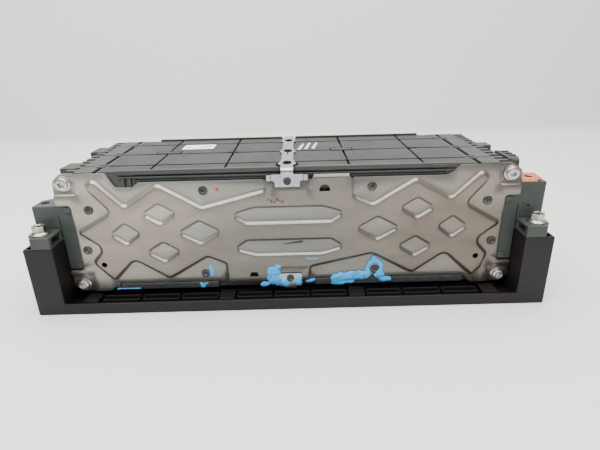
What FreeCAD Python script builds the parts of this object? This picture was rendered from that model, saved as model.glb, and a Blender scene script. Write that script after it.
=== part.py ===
import FreeCAD, Part

# Battery module of twelve flat cells, bolted by four ears onto a U-shaped plastic cradle.
# Millimetres. X is the long way, Y runs front to back through the stack, Z is up.
# The origin is on the surface that the cradle stands on, under the middle of the cradle.

import math
import os

from FreeCAD import Vector

os.makedirs("parts", exist_ok=True)

# ---- Driving dimensions -------------------------------------------------------------------

CRADLE_LENGTH = 450.0
CRADLE_DEPTH = 177.0
CRADLE_WALL = 2.5
CRADLE_FLOOR = 3.0
TOWER_WIDTH = 25.0
TOWER_HEIGHT = 64.0
LIP_HEIGHT = 10.5
RIB_TOP = 7.0
TOWER_RIB_TOP = 14.0
RIB_THICKNESS = 1.6
TROUGH_RUNS = ((-171.0, -66.4), (-49.0, 50.8), (69.0, 170.0))    # three ridges in each
TROUGH_GAP = 3.0
TROUGH_RIDGES = ((70.8, 8.8), (77.5, 8.2))                       # (distance from middle, top)
TROUGH_PADS = ((-187.0, -174.0), (-64.5, -51.0), (53.0, 67.0), (173.0, 187.0))
TROUGH_PAD_TOP = 9.2

PLATE_FACE = 68.5          # from the middle of the stack to the flat outer face of a plate
PLATE_SHEET = 1.5
PLATE_HALF_LENGTH = 199.5
TRUSS_RISE = 2.5           # how far the pressed truss stands out of the plate
PAD_SINK = 1.5             # how far the corner bolt pads sit back from the plate

DECK_TOP = 123.7
STACK_BOTTOM = 15.0
MODULE_BOTTOM = 13.0
STACK_HALF_DEPTH = 65.5
STACK_MIDDLE = 68.2
CELL_COUNT = 12
CELLS_PER_FRAME = (2, 4, 4, 2)

FRAME_HALF_LENGTH = 158.0
FRAME_WALL = 7.0
WINDOW_BOTTOM = 24.0
WINDOW_TOP = 118.0
DECK_LINES = (53.3, 116.9)

CELL_THICKNESS = 9.6
FIN_THICKNESS = 1.0
CELL_HALF_LENGTH = 143.0
CELL_BOTTOM = 30.0
CELL_TOP = 112.0
SEAL_WIDTH = 5.0
TAB_THICKNESS = 0.4
TAB_BOTTOM = 50.0
TAB_TOP = 95.0
TAB_REACH = 169.6
BUSBAR_THICKNESS = 2.0

HOUSING_CAVITY = 184.0
HOUSING_OUTER = 199.5
COMB_OUTER = 190.5
EAR_THICKNESS = 10.0
EAR_OUTER = 222.5
BLOCK_OUTER = 221.7
BLOCK_DEPTH = 24.0
LEFT_BLOCK_TOP = 95.0
RIGHT_BLOCK_TOP = 106.3

TIE_BOLT_X = 190.0
TIE_BOLT_HEIGHTS = (115.1, 19.5)
TIE_BOLT_DIAMETER = 6.0
EAR_BOLT_X = 213.5
EAR_BOLT_Y = 76.5
EAR_BOLT_DIAMETER = 6.0
TERMINAL_X = 210.3
TERMINAL_Y = 55.3
TERMINAL_HOLE = 6.5
TERMINAL_BAR = 2.0
SERVICE_HOLE = 5.0
SERVICE_HOLE_AT = (166.5, 40.0)

CONNECTOR_INNER = 194.2
CONNECTOR_FRONT = -48.2
CONNECTOR_BACK = -17.0
CONNECTOR_BOTTOM = 110.0

STRAP_WIDTH = 10.5
STRAP_THICKNESS = 1.2
STRAP_TOP_Z = 123.9
STRAP_BOTTOM_Z = 11.4
STRAP_SLOTS_Y = (-52.5, -5.0, 46.0)
STRAP_RIVET_HEIGHTS = (114.0, 23.0)
STRAP_SLOT_RADIUS = 4.1
STRAP_SLOT_LENGTH = 14.0
STRAP_LUG = 7.9            # half the strap's width at the points beside a slot

INSERT_RADIUS = 4.5
INSERT_DEPTH = 14.0
BUSH_RADIUS = 5.0
BLOCK_HOLE_RADIUS = 3.5
LEFT_BLOCK_HOLE_X = 215.0
HEX_FLATS = 10.0           # across the flats of an M6 head or nut
TIE_FLANGE = (6.8, 6.0, 1.4)    # a tie bolt's or nut's flange: foot radius, rim radius, height
RIVET_SHANK = 2.0
STRAP_RIVET_SHANK = 1.6
BOARD_TOP = 117.2
SENSE_SLOT = (-30.0, -18.0)     # the sensing ribbon's way through the second frame, along Y

FIT = 0.1                  # gap left round shafts and inserts
DRILL_FRONT = -80.0        # a tool between these two levels passes right through a front plate
DRILL_BACK = -60.0
RIVETS = ((172.0, 91.4), (179.8, 53.8), (72.0, 106.5), (77.0, 28.0))

# Corners of the end plate's edge: (x, z, corner radius).
PLATE_EDGE = (
    (-199.5, 116.5, 6), (-191.5, 123.7, 6), (-152.5, 123.7, 3), (-146.0, 111.0, 4),
    (-131.5, 111.0, 3), (-126.0, 115.0, 3), (20.5, 115.0, 0), (21.5, 118.8, 0),
    (53.0, 118.8, 0), (54.0, 115.0, 0), (136.0, 115.0, 5), (146.5, 123.7, 5),
    (191.5, 123.7, 6), (199.5, 116.5, 6), (199.5, 95.5, 2.5), (187.0, 95.5, 3),
    (187.0, 34.0, 3), (199.5, 34.0, 2), (199.5, 17.0, 5), (192.0, 12.0, 5),
    (165.5, 12.0, 4), (157.5, 20.0, 3), (-157.5, 20.0, 3), (-165.5, 12.0, 4),
    (-192.0, 12.0, 5), (-199.5, 17.0, 5), (-199.5, 34.0, 2), (-187.0, 34.0, 3),
    (-187.0, 95.5, 3), (-199.5, 95.5, 2.5),
)

# Corners of the truss that is pressed out of the plate: (x, z, corner radius).
TRUSS_EDGE = (
    (-21.0, 115.0, 0), (57.0, 115.0, 0), (57.5, 99.5, 4), (73.0, 93.0, 3),
    (108.5, 115.0, 6), (139.5, 97.0, 3), (164.5, 121.0, 6), (173.5, 112.0, 5),
    (155.5, 90.0, 3), (187.5, 71.5, 4), (166.5, 55.0, 5), (178.5, 42.0, 6),
    (173.5, 27.0, 5), (165.0, 18.0, 4), (138.5, 42.5, 5), (110.5, 22.5, 6),
    (73.5, 43.0, 5), (20.0, 31.5, 2), (20.0, 20.0, 0), (-59.0, 20.0, 0),
    (-59.0, 37.0, 2), (-73.5, 43.5, 4), (-109.5, 22.5, 6), (-139.0, 42.0, 5),
    (-160.0, 21.0, 5), (-178.5, 42.0, 6), (-166.5, 55.0, 5), (-187.5, 71.5, 4),
    (-155.0, 89.5, 3), (-174.0, 112.5, 5), (-163.5, 121.0, 6), (-140.0, 96.0, 3),
    (-110.0, 115.0, 6), (-74.0, 93.5, 3), (-21.0, 107.0, 2),
)

# Diamond windows pressed back into the truss: centre x, centre z, half length, half height.
DIAMONDS = ((78.0, 69.0, 19.0, 10.7), (111.5, 87.0, 15.0, 9.0),
            (143.0, 69.0, 12.8, 9.8), (111.5, 51.0, 15.0, 9.2))
LENS_HALF = ((50.0, 16.3, 3), (37.0, 8.0, 3), (-37.0, 8.0, 3), (-50.0, 16.3, 3),
             (-30.0, 22.5, 20), (30.0, 22.5, 20))

# ---- Values that follow from them ---------------------------------------------------------

CRADLE_HALF_LENGTH = CRADLE_LENGTH / 2
CRADLE_HALF_DEPTH = CRADLE_DEPTH / 2
TOWER_INNER = CRADLE_HALF_LENGTH - TOWER_WIDTH
CELL_PITCH = 2 * STACK_HALF_DEPTH / CELL_COUNT
FOAM_THICKNESS = 2 * CELL_PITCH - 2 * CELL_THICKNESS - FIN_THICKNESS
PLATE_BACK = PLATE_FACE - PLATE_SHEET
TRUSS_FACE = PLATE_FACE + TRUSS_RISE
PAD_FACE = PLATE_FACE - PAD_SINK
PAD_BACK = PAD_FACE - PLATE_SHEET
BUSBAR_INNER = TAB_REACH + TAB_THICKNESS


# ---- Shape tools --------------------------------------------------------------------------

def spot(plane, u, v, level=0.0):
    """A point of a drawing plane: XZ looks along Y, YZ along X, and XY is a plan."""
    if plane == "XZ":
        return Vector(u, level, v)
    if plane == "YZ":
        return Vector(level, u, v)
    return Vector(u, v, level)


def slab(plane, corners, start, end):
    """A closed outline, each corner rounded by its own radius, extruded between two levels."""
    flat = [Vector(c[0], c[1], 0) for c in corners]
    radii = [c[2] if len(c) > 2 else 0.0 for c in corners]
    count = len(flat)
    stops = []
    for i, corner in enumerate(flat):
        before = (flat[i - 1] - corner).normalize()
        after = (flat[(i + 1) % count] - corner).normalize()
        half_angle = before.getAngle(after) / 2
        if radii[i] == 0 or half_angle > math.radians(89):
            stops.append((corner, None, corner))
            continue
        reach = radii[i] / math.tan(half_angle)
        middle = (before + after).normalize()
        crown = corner + middle * (radii[i] / math.sin(half_angle) - radii[i])
        stops.append((corner + before * reach, crown, corner + after * reach))
    edges = []
    for i, (entry, crown, leave) in enumerate(stops):
        if crown is not None:
            arc = Part.Arc(*[spot(plane, p.x, p.y, start) for p in (entry, crown, leave)])
            edges.append(arc.toShape())
        following = stops[(i + 1) % count][0]
        if leave.distanceToPoint(following) > 1e-6:
            ends = [spot(plane, p.x, p.y, start) for p in (leave, following)]
            edges.append(Part.LineSegment(*ends).toShape())
    face = Part.Face(Part.Wire(edges))
    return face.extrude(spot(plane, 0, 0, end - start))


def block(x0, x1, y0, y1, z0, z1):
    """A box between six planes, given in any order along each axis."""
    low = Vector(min(x0, x1), min(y0, y1), min(z0, z1))
    return Part.makeBox(abs(x1 - x0), abs(y1 - y0), abs(z1 - z0), low)


def rod(radius, start, end):
    """A round bar from one point to another."""
    axis = end - start
    return Part.makeCylinder(radius, axis.Length, start, axis)


def hexagon(across_flats, start, end):
    """A vertical six-sided bar between two points."""
    reach = across_flats / math.sqrt(3)
    corners = [(start.x + reach * math.cos(math.radians(60 * k)),
                start.y + reach * math.sin(math.radians(60 * k))) for k in range(6)]
    return slab("XY", corners, start.z, end.z)


def plate_drill(radius, x, z):
    """A round tool that passes through the front plate and the sheet behind it."""
    return rod(radius, Vector(x, DRILL_FRONT, z), Vector(x, DRILL_BACK, z))


def joined(shapes):
    """Shapes fused into one solid, with the seams between flat faces taken out."""
    return shapes[0].multiFuse(list(shapes[1:])).removeSplitter()


def turned(shape):
    """The shape turned half round about the vertical, from the front to the back."""
    copy = shape.copy()
    copy.rotate(Vector(0, 0, 0), Vector(0, 0, 1), 180)
    return copy


def save(name, solids):
    """Write one node: a single solid, or separate solids as a group."""
    shape = solids if isinstance(solids, Part.Shape) else Part.makeCompound(solids)
    shape.exportStep(f"parts/{name}.step")


# ---- Cradle -------------------------------------------------------------------------------

def trough_ribs():
    """Low ridges and pads between each lip and the module, along the front and the back."""
    pieces = []
    for side in (-1, 1):
        for start, stop in TROUGH_RUNS:
            length = (stop - start - 2 * TROUGH_GAP) / 3
            for k in range(3):
                x = start + k * (length + TROUGH_GAP)
                for y, top in TROUGH_RIDGES:
                    pieces.append(block(x, x + length, side * y - RIB_THICKNESS / 2,
                                        side * y + RIB_THICKNESS / 2, 0, top))
        for start, stop in TROUGH_PADS:
            pieces.append(block(start, stop, side * 65, side * 82.5, 0, TROUGH_PAD_TOP))
    return pieces


def cradle_tray():
    """Moulded tray: ribbed floor, low lips, and a hollow open-topped tower at each end."""
    half = CRADLE_HALF_LENGTH
    depth = CRADLE_HALF_DEPTH
    pieces = [block(-half, half, -depth, depth, 0, CRADLE_FLOOR)]
    for y in (-1, 1):
        pieces.append(block(-TOWER_INNER, TOWER_INNER, y * depth, y * (depth - CRADLE_WALL),
                            0, LIP_HEIGHT))
    for y in (-62.0, -42.0, -21.0, 0.0, 21.0, 42.0, 62.0):
        pieces.append(block(-168, 168, y - RIB_THICKNESS / 2, y + RIB_THICKNESS / 2, 0, RIB_TOP))
    for x in (-168.0, -112.0, -56.0, 0.0, 56.0, 112.0, 168.0):
        pieces.append(block(x - RIB_THICKNESS / 2, x + RIB_THICKNESS / 2, -62, 62, 0, RIB_TOP))
    pieces.extend(trough_ribs())
    for x in (-1, 1):
        tower = block(x * TOWER_INNER, x * half, -depth, depth, 0, TOWER_HEIGHT)
        hollow = block(x * (TOWER_INNER + CRADLE_WALL), x * (half - CRADLE_WALL),
                       -depth + CRADLE_WALL, depth - CRADLE_WALL, CRADLE_FLOOR, TOWER_HEIGHT + 1)
        pieces.append(tower.cut(hollow))
        for y in (-30.0, 0.0, 30.0):
            pieces.append(block(x * TOWER_INNER, x * half, y - 1, y + 1, 0, TOWER_RIB_TOP))
        for y in (-1, 1):
            pieces.append(block(x * TOWER_INNER, x * 217, y * depth, y * 66, 0, TOWER_HEIGHT))
    tray = joined(pieces)
    for x in (-1, 1):
        for y in (-1, 1):
            axis = (x * EAR_BOLT_X, y * EAR_BOLT_Y)
            above = Vector(*axis, TOWER_HEIGHT + 1)
            tray = tray.cut(rod(INSERT_RADIUS + FIT, Vector(*axis, TOWER_HEIGHT - INSERT_DEPTH),
                                above))
            tray = tray.cut(rod(3.5, Vector(*axis, TOWER_HEIGHT - 24), above))
    return tray


def cradle_inserts():
    """Threaded brass inserts sunk in the tower bosses."""
    solids = []
    for x in (-EAR_BOLT_X, EAR_BOLT_X):
        for y in (-EAR_BOLT_Y, EAR_BOLT_Y):
            low = Vector(x, y, TOWER_HEIGHT - INSERT_DEPTH)
            top = Vector(x, y, TOWER_HEIGHT)
            outer = rod(INSERT_RADIUS, low, top)
            solids.append(outer.cut(rod(EAR_BOLT_DIAMETER / 2 + FIT, low, top)))
    return solids


# ---- Ears: bushes and bolts ---------------------------------------------------------------

def ear_bushes():
    """Steel compression sleeves that take the bolts' clamp load through the plastic ears."""
    solids = []
    for x in (-EAR_BOLT_X, EAR_BOLT_X):
        for y in (-EAR_BOLT_Y, EAR_BOLT_Y):
            base = Vector(x, y, TOWER_HEIGHT)
            top = Vector(x, y, TOWER_HEIGHT + EAR_THICKNESS)
            sleeve = rod(BUSH_RADIUS, base, top)
            solids.append(sleeve.cut(rod(EAR_BOLT_DIAMETER / 2 + FIT, base, top)))
    return solids


def ear_bolts():
    """M6 hex bolts with a broad flange, through the ears into the cradle's inserts."""
    seat = TOWER_HEIGHT + EAR_THICKNESS
    solids = []
    for x in (-EAR_BOLT_X, EAR_BOLT_X):
        for y in (-EAR_BOLT_Y, EAR_BOLT_Y):
            shank = rod(EAR_BOLT_DIAMETER / 2, Vector(x, y, seat - 24), Vector(x, y, seat + 1))
            flange = Part.makeCone(8.2, 6.4, 1.8, Vector(x, y, seat))
            head = hexagon(HEX_FLATS, Vector(x, y, seat + 1), Vector(x, y, seat + 7.5))
            solids.append(joined([shank, flange, head]))
    return solids


# ---- End plates ---------------------------------------------------------------------------

def truss_windows(margin, front, back):
    """The diamonds and the two lens shapes of the truss, widened all round by a margin."""
    windows = []
    for x, z, half_length, half_height in DIAMONDS:
        for side in (-1, 1):
            reach = half_length + margin * 1.7
            rise = half_height + margin
            corners = [(side * x - reach, z, 3), (side * x, z + rise, 4),
                       (side * x + reach, z, 3), (side * x, z - rise, 4)]
            windows.append(slab("XZ", corners, front, back))
    for side in (-1, 1):
        corners = []
        for x, rise, radius in LENS_HALF:
            spread = margin * 1.7 * (1 if x > 0 else -1)
            lift = -margin if rise < 10 else (margin if rise > 20 else 0)
            corners.append((x + spread, STACK_MIDDLE + side * (rise + lift), radius))
        windows.append(slab("XZ", corners, front, back))
    return windows


def end_plate():
    """Front plate: sheet steel, with a pressed truss, sunk bolt pads, notches and slots."""
    plate = slab("XZ", PLATE_EDGE, -PLATE_FACE, -PLATE_BACK)
    skirt = slab("XZ", PLATE_EDGE, -PLATE_FACE, -PAD_BACK)
    pads = slab("XZ", PLATE_EDGE, -PAD_FACE, -PAD_BACK)
    far = PLATE_HALF_LENGTH + 1
    for x in (-1, 1):
        for z0, z1, edge in ((104.5, DECK_TOP + 1, -1), (10.0, 30.0, 1)):
            step = edge * PLATE_SHEET
            inner = block(x * 180, x * far, DRILL_FRONT, DRILL_BACK, z0, z1)
            outer = block(x * (180 - PLATE_SHEET), x * far, DRILL_FRONT, DRILL_BACK,
                          z0 + min(step, 0), z1 + max(step, 0))
            plate = plate.cut(inner)
            plate = plate.fuse(skirt.common(outer).cut(inner))
            plate = plate.fuse(pads.common(inner))
    truss = slab("XZ", TRUSS_EDGE, -TRUSS_FACE, -PLATE_BACK)
    for window in truss_windows(0.0, -TRUSS_FACE, -PLATE_FACE):
        truss = truss.cut(window)
    plate = plate.fuse(truss)
    hollow_edge = Part.Face(Part.makePolygon(
        [Vector(x, -TRUSS_FACE + PLATE_SHEET, z) for x, z, _ in TRUSS_EDGE + TRUSS_EDGE[:1]]))
    hollow = hollow_edge.makeOffset2D(-PLATE_SHEET - 0.5, 2)
    hollow = hollow.extrude(Vector(0, TRUSS_FACE - PLATE_SHEET - PLATE_BACK, 0))
    for window in truss_windows(PLATE_SHEET, -TRUSS_FACE, -PLATE_BACK):
        hollow = hollow.cut(window)
    plate = plate.cut(hollow)
    through = []
    for side in (-1, 1):
        for z in TIE_BOLT_HEIGHTS:
            through.append(plate_drill(TIE_BOLT_DIAMETER / 2 + 0.4, side * TIE_BOLT_X, z))
        for x, z in RIVETS:
            through.append(plate_drill(RIVET_SHANK + FIT, side * x, z))
        x, z = SERVICE_HOLE_AT
        through.append(plate_drill(SERVICE_HOLE / 2, side * x, z))
    for z in STRAP_RIVET_HEIGHTS:
        through.append(plate_drill(STRAP_RIVET_SHANK + FIT, 0, z))
    for slot in ([(27, 104), (36, 104), (36, 110, 4.4), (27, 110, 4.4)],
                 [(-37, 24.5), (-28.5, 24.5), (-30, 29), (-35.5, 29)]):
        through.append(slab("XZ", slot, DRILL_FRONT, DRILL_BACK))
    for tool in through:
        plate = plate.cut(tool)
    return plate.removeSplitter()


def plate_rivets():
    """Dark dome rivets that clench the front plate to its insulating sheet."""
    solids = []
    for side in (-1, 1):
        for x, z in RIVETS:
            head = Part.makeSphere(5.4, Vector(side * x, -PLATE_FACE + 3.8, z))
            head = head.common(block(side * x - 6, side * x + 6, DRILL_FRONT, -PLATE_FACE,
                                     z - 6, z + 6))
            shank = rod(RIVET_SHANK, Vector(side * x, -PLATE_FACE - 0.5, z),
                        Vector(side * x, -STACK_HALF_DEPTH - FIT, z))
            solids.append(joined([head, shank]))
    return solids


def insulator():
    """Front insulating sheet between plate and cells, standing a little above the deck."""
    top = DECK_TOP - 0.2
    rim = DECK_TOP + 1.8
    corners = [(-176, MODULE_BOTTOM, 2), (176, MODULE_BOTTOM, 2), (176, top, 2), (142, top),
               (142, rim, 1), (7, rim), (7, top), (-7, top), (-7, rim), (-142, rim, 1),
               (-142, top), (-176, top, 2)]
    sheet = slab("XZ", corners, -PLATE_BACK, -STACK_HALF_DEPTH)
    for side in (-1, 1):
        for x, z in RIVETS:
            sheet = sheet.cut(plate_drill(RIVET_SHANK + FIT, side * x, z))
        x, z = SERVICE_HOLE_AT
        sheet = sheet.cut(plate_drill(SERVICE_HOLE / 2 + 0.5, side * x, z))
    for z in STRAP_RIVET_HEIGHTS:
        sheet = sheet.cut(plate_drill(STRAP_RIVET_SHANK + FIT, 0, z))
    return sheet


# ---- Tie bolts ----------------------------------------------------------------------------

def tie_bolts():
    """Long bolts at the plate corners, with round flanged heads and a six-lobed socket."""
    solids = []
    for x in (-TIE_BOLT_X, TIE_BOLT_X):
        for z in TIE_BOLT_HEIGHTS:
            seat = Vector(x, -PAD_FACE, z)
            out = Vector(0, -1, 0)
            flange = Part.makeCone(*TIE_FLANGE, seat, out)
            head = Part.makeCone(5.2, 4.6, 5.2, seat, out)
            shank = rod(TIE_BOLT_DIAMETER / 2, seat + out, Vector(x, PAD_FACE + 7.5, z))
            socket = rod(2.6, seat + out * 2.4, seat + out * 8)
            solids.append(joined([flange, head, shank]).cut(socket))
    return solids


def tie_nuts():
    """Flange nuts on the tie bolts, behind the rear plate."""
    solids = []
    for x in (-TIE_BOLT_X, TIE_BOLT_X):
        for z in TIE_BOLT_HEIGHTS:
            seat = Vector(x, PAD_FACE, z)
            back = Vector(0, 1, 0)
            reach = HEX_FLATS / math.sqrt(3)
            corners = [(x + reach * math.cos(math.radians(60 * k)),
                        z + reach * math.sin(math.radians(60 * k))) for k in range(6)]
            nut = slab("XZ", corners, PAD_FACE, PAD_FACE + 6)
            flange = Part.makeCone(*TIE_FLANGE, seat, back)
            bore = rod(TIE_BOLT_DIAMETER / 2 + FIT, seat - back, seat + back * 8)
            solids.append(joined([nut, flange]).cut(bore))
    return solids


# ---- Cells, their frames and what lies between them ---------------------------------------

def cell_middle(index):
    """Y of a cell's mid-plane. Cells lie in pairs: cell, fin, cell, foam."""
    pair_start = -STACK_HALF_DEPTH + (index // 2) * 2 * CELL_PITCH
    if index % 2 == 0:
        return pair_start + CELL_THICKNESS / 2
    return pair_start + 1.5 * CELL_THICKNESS + FIN_THICKNESS


def cell(index):
    """A flat cell: a bevelled body in a thin sealed rim."""
    y = cell_middle(index)
    half = CELL_THICKNESS / 2
    rim = slab("XZ", [(-CELL_HALF_LENGTH - SEAL_WIDTH, CELL_BOTTOM - SEAL_WIDTH, 3),
                      (CELL_HALF_LENGTH + SEAL_WIDTH, CELL_BOTTOM - SEAL_WIDTH, 3),
                      (CELL_HALF_LENGTH + SEAL_WIDTH, CELL_TOP + SEAL_WIDTH, 3),
                      (-CELL_HALF_LENGTH - SEAL_WIDTH, CELL_TOP + SEAL_WIDTH, 3)],
               y - 0.5, y + 0.5)
    body = slab("YZ", [(y - half, CELL_BOTTOM, 2), (y + half, CELL_BOTTOM, 2),
                       (y + half, CELL_TOP, 2), (y - half, CELL_TOP, 2)],
                -CELL_HALF_LENGTH, CELL_HALF_LENGTH)
    return joined([rim, body])


def cell_tabs(material_side):
    """Foil tabs of one metal. Neighbouring cells are turned round, so the sides alternate."""
    solids = []
    for index in range(CELL_COUNT):
        side = material_side if index % 2 == 0 else -material_side
        y = cell_middle(index)
        partner = tab_partner(index, side)
        fold = y + 5.0 * partner
        leaf = block(side * (CELL_HALF_LENGTH + SEAL_WIDTH), side * BUSBAR_INNER,
                     y - TAB_THICKNESS / 2, y + TAB_THICKNESS / 2, TAB_BOTTOM, TAB_TOP)
        foot = block(side * TAB_REACH, side * BUSBAR_INNER, y, fold, TAB_BOTTOM, TAB_TOP)
        solids.append(joined([leaf, foot]))
    return solids


def tab_partner(index, side):
    """Which way a tab folds, towards the cell that it is joined to on that side."""
    first_of_pair = index % 2 == 0 if side < 0 else index % 2 == 1
    if index == 0 and side > 0:
        return 1
    if index == CELL_COUNT - 1 and side > 0:
        return -1
    return 1 if first_of_pair else -1


def busbars(side):
    """Copper bridges that join neighbouring cells' tabs in series."""
    first = 0 if side < 0 else 1
    solids = []
    for index in range(first, CELL_COUNT - 1, 2):
        y0 = cell_middle(index) - 2
        y1 = cell_middle(index + 1) + 2
        solids.append(block(side * BUSBAR_INNER, side * (BUSBAR_INNER + BUSBAR_THICKNESS),
                            y0, y1, TAB_BOTTOM - 2, TAB_TOP + 2))
    return solids


def frame_bounds(number):
    """Front and back faces of one of the four stacked frames."""
    before = sum(CELLS_PER_FRAME[:number])
    start = -STACK_HALF_DEPTH + before * CELL_PITCH
    return start, start + CELLS_PER_FRAME[number] * CELL_PITCH


def cell_frame(number):
    """Moulded ring round two or four cells. Its top edge is a strip of the deck."""
    y0, y1 = frame_bounds(number)
    half = FRAME_HALF_LENGTH
    bevel = 1.2
    section = [(y0, STACK_BOTTOM), (y1, STACK_BOTTOM), (y1, DECK_TOP - bevel),
               (y1 - 2 * bevel, DECK_TOP), (y0 + 2 * bevel, DECK_TOP), (y0, DECK_TOP - bevel)]
    frame = slab("YZ", section, -half, half)
    frame = frame.cut(block(-half + FRAME_WALL, half - FRAME_WALL, y0 - 1, y1 + 1,
                            WINDOW_BOTTOM, WINDOW_TOP))
    for x in DECK_LINES:
        for side in (-1, 1):
            frame = frame.cut(block(side * x - 0.6, side * x + 0.6, y0 - 1, y1 + 1,
                                    DECK_TOP - 0.8, DECK_TOP + 1))
    for index in range(CELL_COUNT):
        y = cell_middle(index)
        if y0 < y < y1:
            frame = frame.cut(block(-half - 1, half + 1, y - 0.6, y + 0.6,
                                    TAB_BOTTOM - 2, TAB_TOP + 2))
    for y in fin_middles():
        if y0 < y < y1:
            frame = frame.cut(block(-141, 141, y - FIN_THICKNESS / 2 - FIT,
                                    y + FIN_THICKNESS / 2 + FIT, 0, WINDOW_BOTTOM + 1))
    if number == 1:
        frame = frame.cut(block(-half - 1, half + 1, *SENSE_SLOT, WINDOW_TOP - 1, WINDOW_TOP))
    return frame


def fin_middles():
    """Y of the fin inside each pair of cells."""
    return [(cell_middle(i) + cell_middle(i + 1)) / 2 for i in range(0, CELL_COUNT, 2)]


def cooling_fins():
    """Aluminium sheets that carry the cells' heat down to the pad under the stack."""
    return [block(-140, 140, y - FIN_THICKNESS / 2, y + FIN_THICKNESS / 2,
                  STACK_BOTTOM, WINDOW_TOP - 2) for y in fin_middles()]


def foam_pads():
    """Springy pads between the pairs, which take up the cells' swelling."""
    pads = []
    for y in fin_middles():
        start = y + FIN_THICKNESS / 2 + CELL_THICKNESS
        pads.append(block(-138, 138, start, start + FOAM_THICKNESS, CELL_BOTTOM + 2, CELL_TOP - 2))
    return pads


def thermal_pad():
    """Heat-conducting layer under the frames and the fins' feet."""
    return slab("XY", [(-158, -62, 4), (158, -62, 4), (158, 62, 4), (-158, 62, 4)],
                MODULE_BOTTOM, STACK_BOTTOM)


# ---- End housings -------------------------------------------------------------------------

def end_housing(side):
    """Moulded end cover with bolt tubes, a comb along the deck, two blocks and two ears."""
    section = [(FRAME_HALF_LENGTH, MODULE_BOTTOM), (HOUSING_OUTER - 3, MODULE_BOTTOM),
               (HOUSING_OUTER, MODULE_BOTTOM + 3), (HOUSING_OUTER, 112), (COMB_OUTER, DECK_TOP),
               (FRAME_HALF_LENGTH, DECK_TOP)]
    section = [(side * x, z) for x, z in section]
    shell = slab("XZ", section, -STACK_HALF_DEPTH, STACK_HALF_DEPTH)
    shell = shell.cut(block(side * 150, side * HOUSING_CAVITY, -STACK_HALF_DEPTH - 1,
                            STACK_HALF_DEPTH + 1, WINDOW_BOTTOM, WINDOW_TOP))
    pieces = [shell]
    for y in (-1, 1):
        face = y * (PLATE_BACK - FIT)
        pieces.append(slab("XZ", [(side * 183, 35), (side * HOUSING_OUTER, 35),
                                  (side * HOUSING_OUTER, 103), (side * 183, 103)],
                           face, y * (STACK_HALF_DEPTH - 2)))
        top = RIGHT_BLOCK_TOP if side > 0 else LEFT_BLOCK_TOP
        near = y * (PLATE_BACK - 0.5)
        far = y * (PLATE_BACK - 0.5 - BLOCK_DEPTH)
        pieces.append(slab("XY", [(side * HOUSING_OUTER, near), (side * BLOCK_OUTER, near, 1),
                                  (side * BLOCK_OUTER, far + y * 6, 1),
                                  (side * (BLOCK_OUTER - 8), far, 1), (side * HOUSING_OUTER, far)],
                           TOWER_HEIGHT, top))
        ear = [(side * 199, y * 44), (side * 199, y * 62), (side * 200.4, y * 66),
               (side * 200.4, y * CRADLE_HALF_DEPTH, 0.8),
               (side * 217, y * CRADLE_HALF_DEPTH, 0.8), (side * EAR_OUTER, y * 79.5, 0.8),
               (side * EAR_OUTER, y * 44, 0.8)]
        pieces.append(slab("XY", ear, TOWER_HEIGHT, TOWER_HEIGHT + EAR_THICKNESS))
    for middle, depth in ((-38.0, 21.0), (28.0, 23.0)) if side < 0 else ((11.0, 15.0),):
        pieces.append(block(side * 186, side * 200, middle - depth / 2, middle + depth / 2,
                            100, DECK_TOP))
    housing = joined(pieces)
    for k in range(CELL_COUNT):
        y = -STACK_HALF_DEPTH + (k + 0.5) * CELL_PITCH
        housing = housing.cut(block(side * 181, side * 189, y - 2.8, y + 2.8,
                                    WINDOW_TOP + 2.5, DECK_TOP + 1))
    for z in TIE_BOLT_HEIGHTS:
        housing = housing.cut(rod(TIE_BOLT_DIAMETER / 2 + 0.4, Vector(side * TIE_BOLT_X, -90, z),
                                  Vector(side * TIE_BOLT_X, 90, z)))
    for y in (-1, 1):
        ear_axis = (side * EAR_BOLT_X, y * EAR_BOLT_Y)
        housing = housing.cut(rod(BUSH_RADIUS + FIT, Vector(*ear_axis, 60), Vector(*ear_axis, 80)))
        housing = housing.cut(block(side * 199.8, side * 207, y * 70, y * 84,
                                    TOWER_HEIGHT + 2, TOWER_HEIGHT + 8))
        housing = housing.cut(block(side * 198.6, side * 200.2, y * 64, y * 70, 66, 86))
        if side > 0:
            block_axis = (TERMINAL_X, y * TERMINAL_Y)
            top = RIGHT_BLOCK_TOP
            housing = housing.cut(terminal_slot(y))
            housing = housing.cut(hexagon(HEX_FLATS + 2 * FIT, Vector(*block_axis, top - 5),
                                          Vector(*block_axis, top + 1)))
        else:
            block_axis = (-LEFT_BLOCK_HOLE_X, y * TERMINAL_Y)
            top = LEFT_BLOCK_TOP
        housing = housing.cut(rod(BLOCK_HOLE_RADIUS, Vector(*block_axis, top - 20),
                                  Vector(*block_axis, top + 1)))
    if side > 0:
        housing = housing.cut(connector_hollow())
    return housing.removeSplitter()


def terminal_slot(y):
    """Gap through the right housing's wall, where a terminal bar comes out."""
    return block(175, 200, y * 64, y * 43, RIGHT_BLOCK_TOP, RIGHT_BLOCK_TOP + TERMINAL_BAR + FIT)


def terminal_bar(y, index):
    """Copper bar from an end cell's tab, up and out over the right block to its bolt hole."""
    low = RIGHT_BLOCK_TOP
    top = low + TERMINAL_BAR
    plan = [(174, y * 63.8), (199.7, y * 63.8), (200.4, y * 66.2), (213.5, y * 66.2),
            (218.8, y * 62.5), (221.2, y * 44.5), (212.5, y * 43.4), (174, y * 46)]
    shelf = slab("XY", plan, low, top)
    tab = cell_middle(index)
    riser = block(BUSBAR_INNER, BUSBAR_INNER + 2 * TERMINAL_BAR, tab - 2, tab + 7 * -y,
                  TAB_BOTTOM - 2, top)
    hole = rod(TERMINAL_HOLE / 2, Vector(TERMINAL_X, y * TERMINAL_Y, 90),
               Vector(TERMINAL_X, y * TERMINAL_Y, 120))
    return joined([shelf, riser]).cut(hole)


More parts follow.
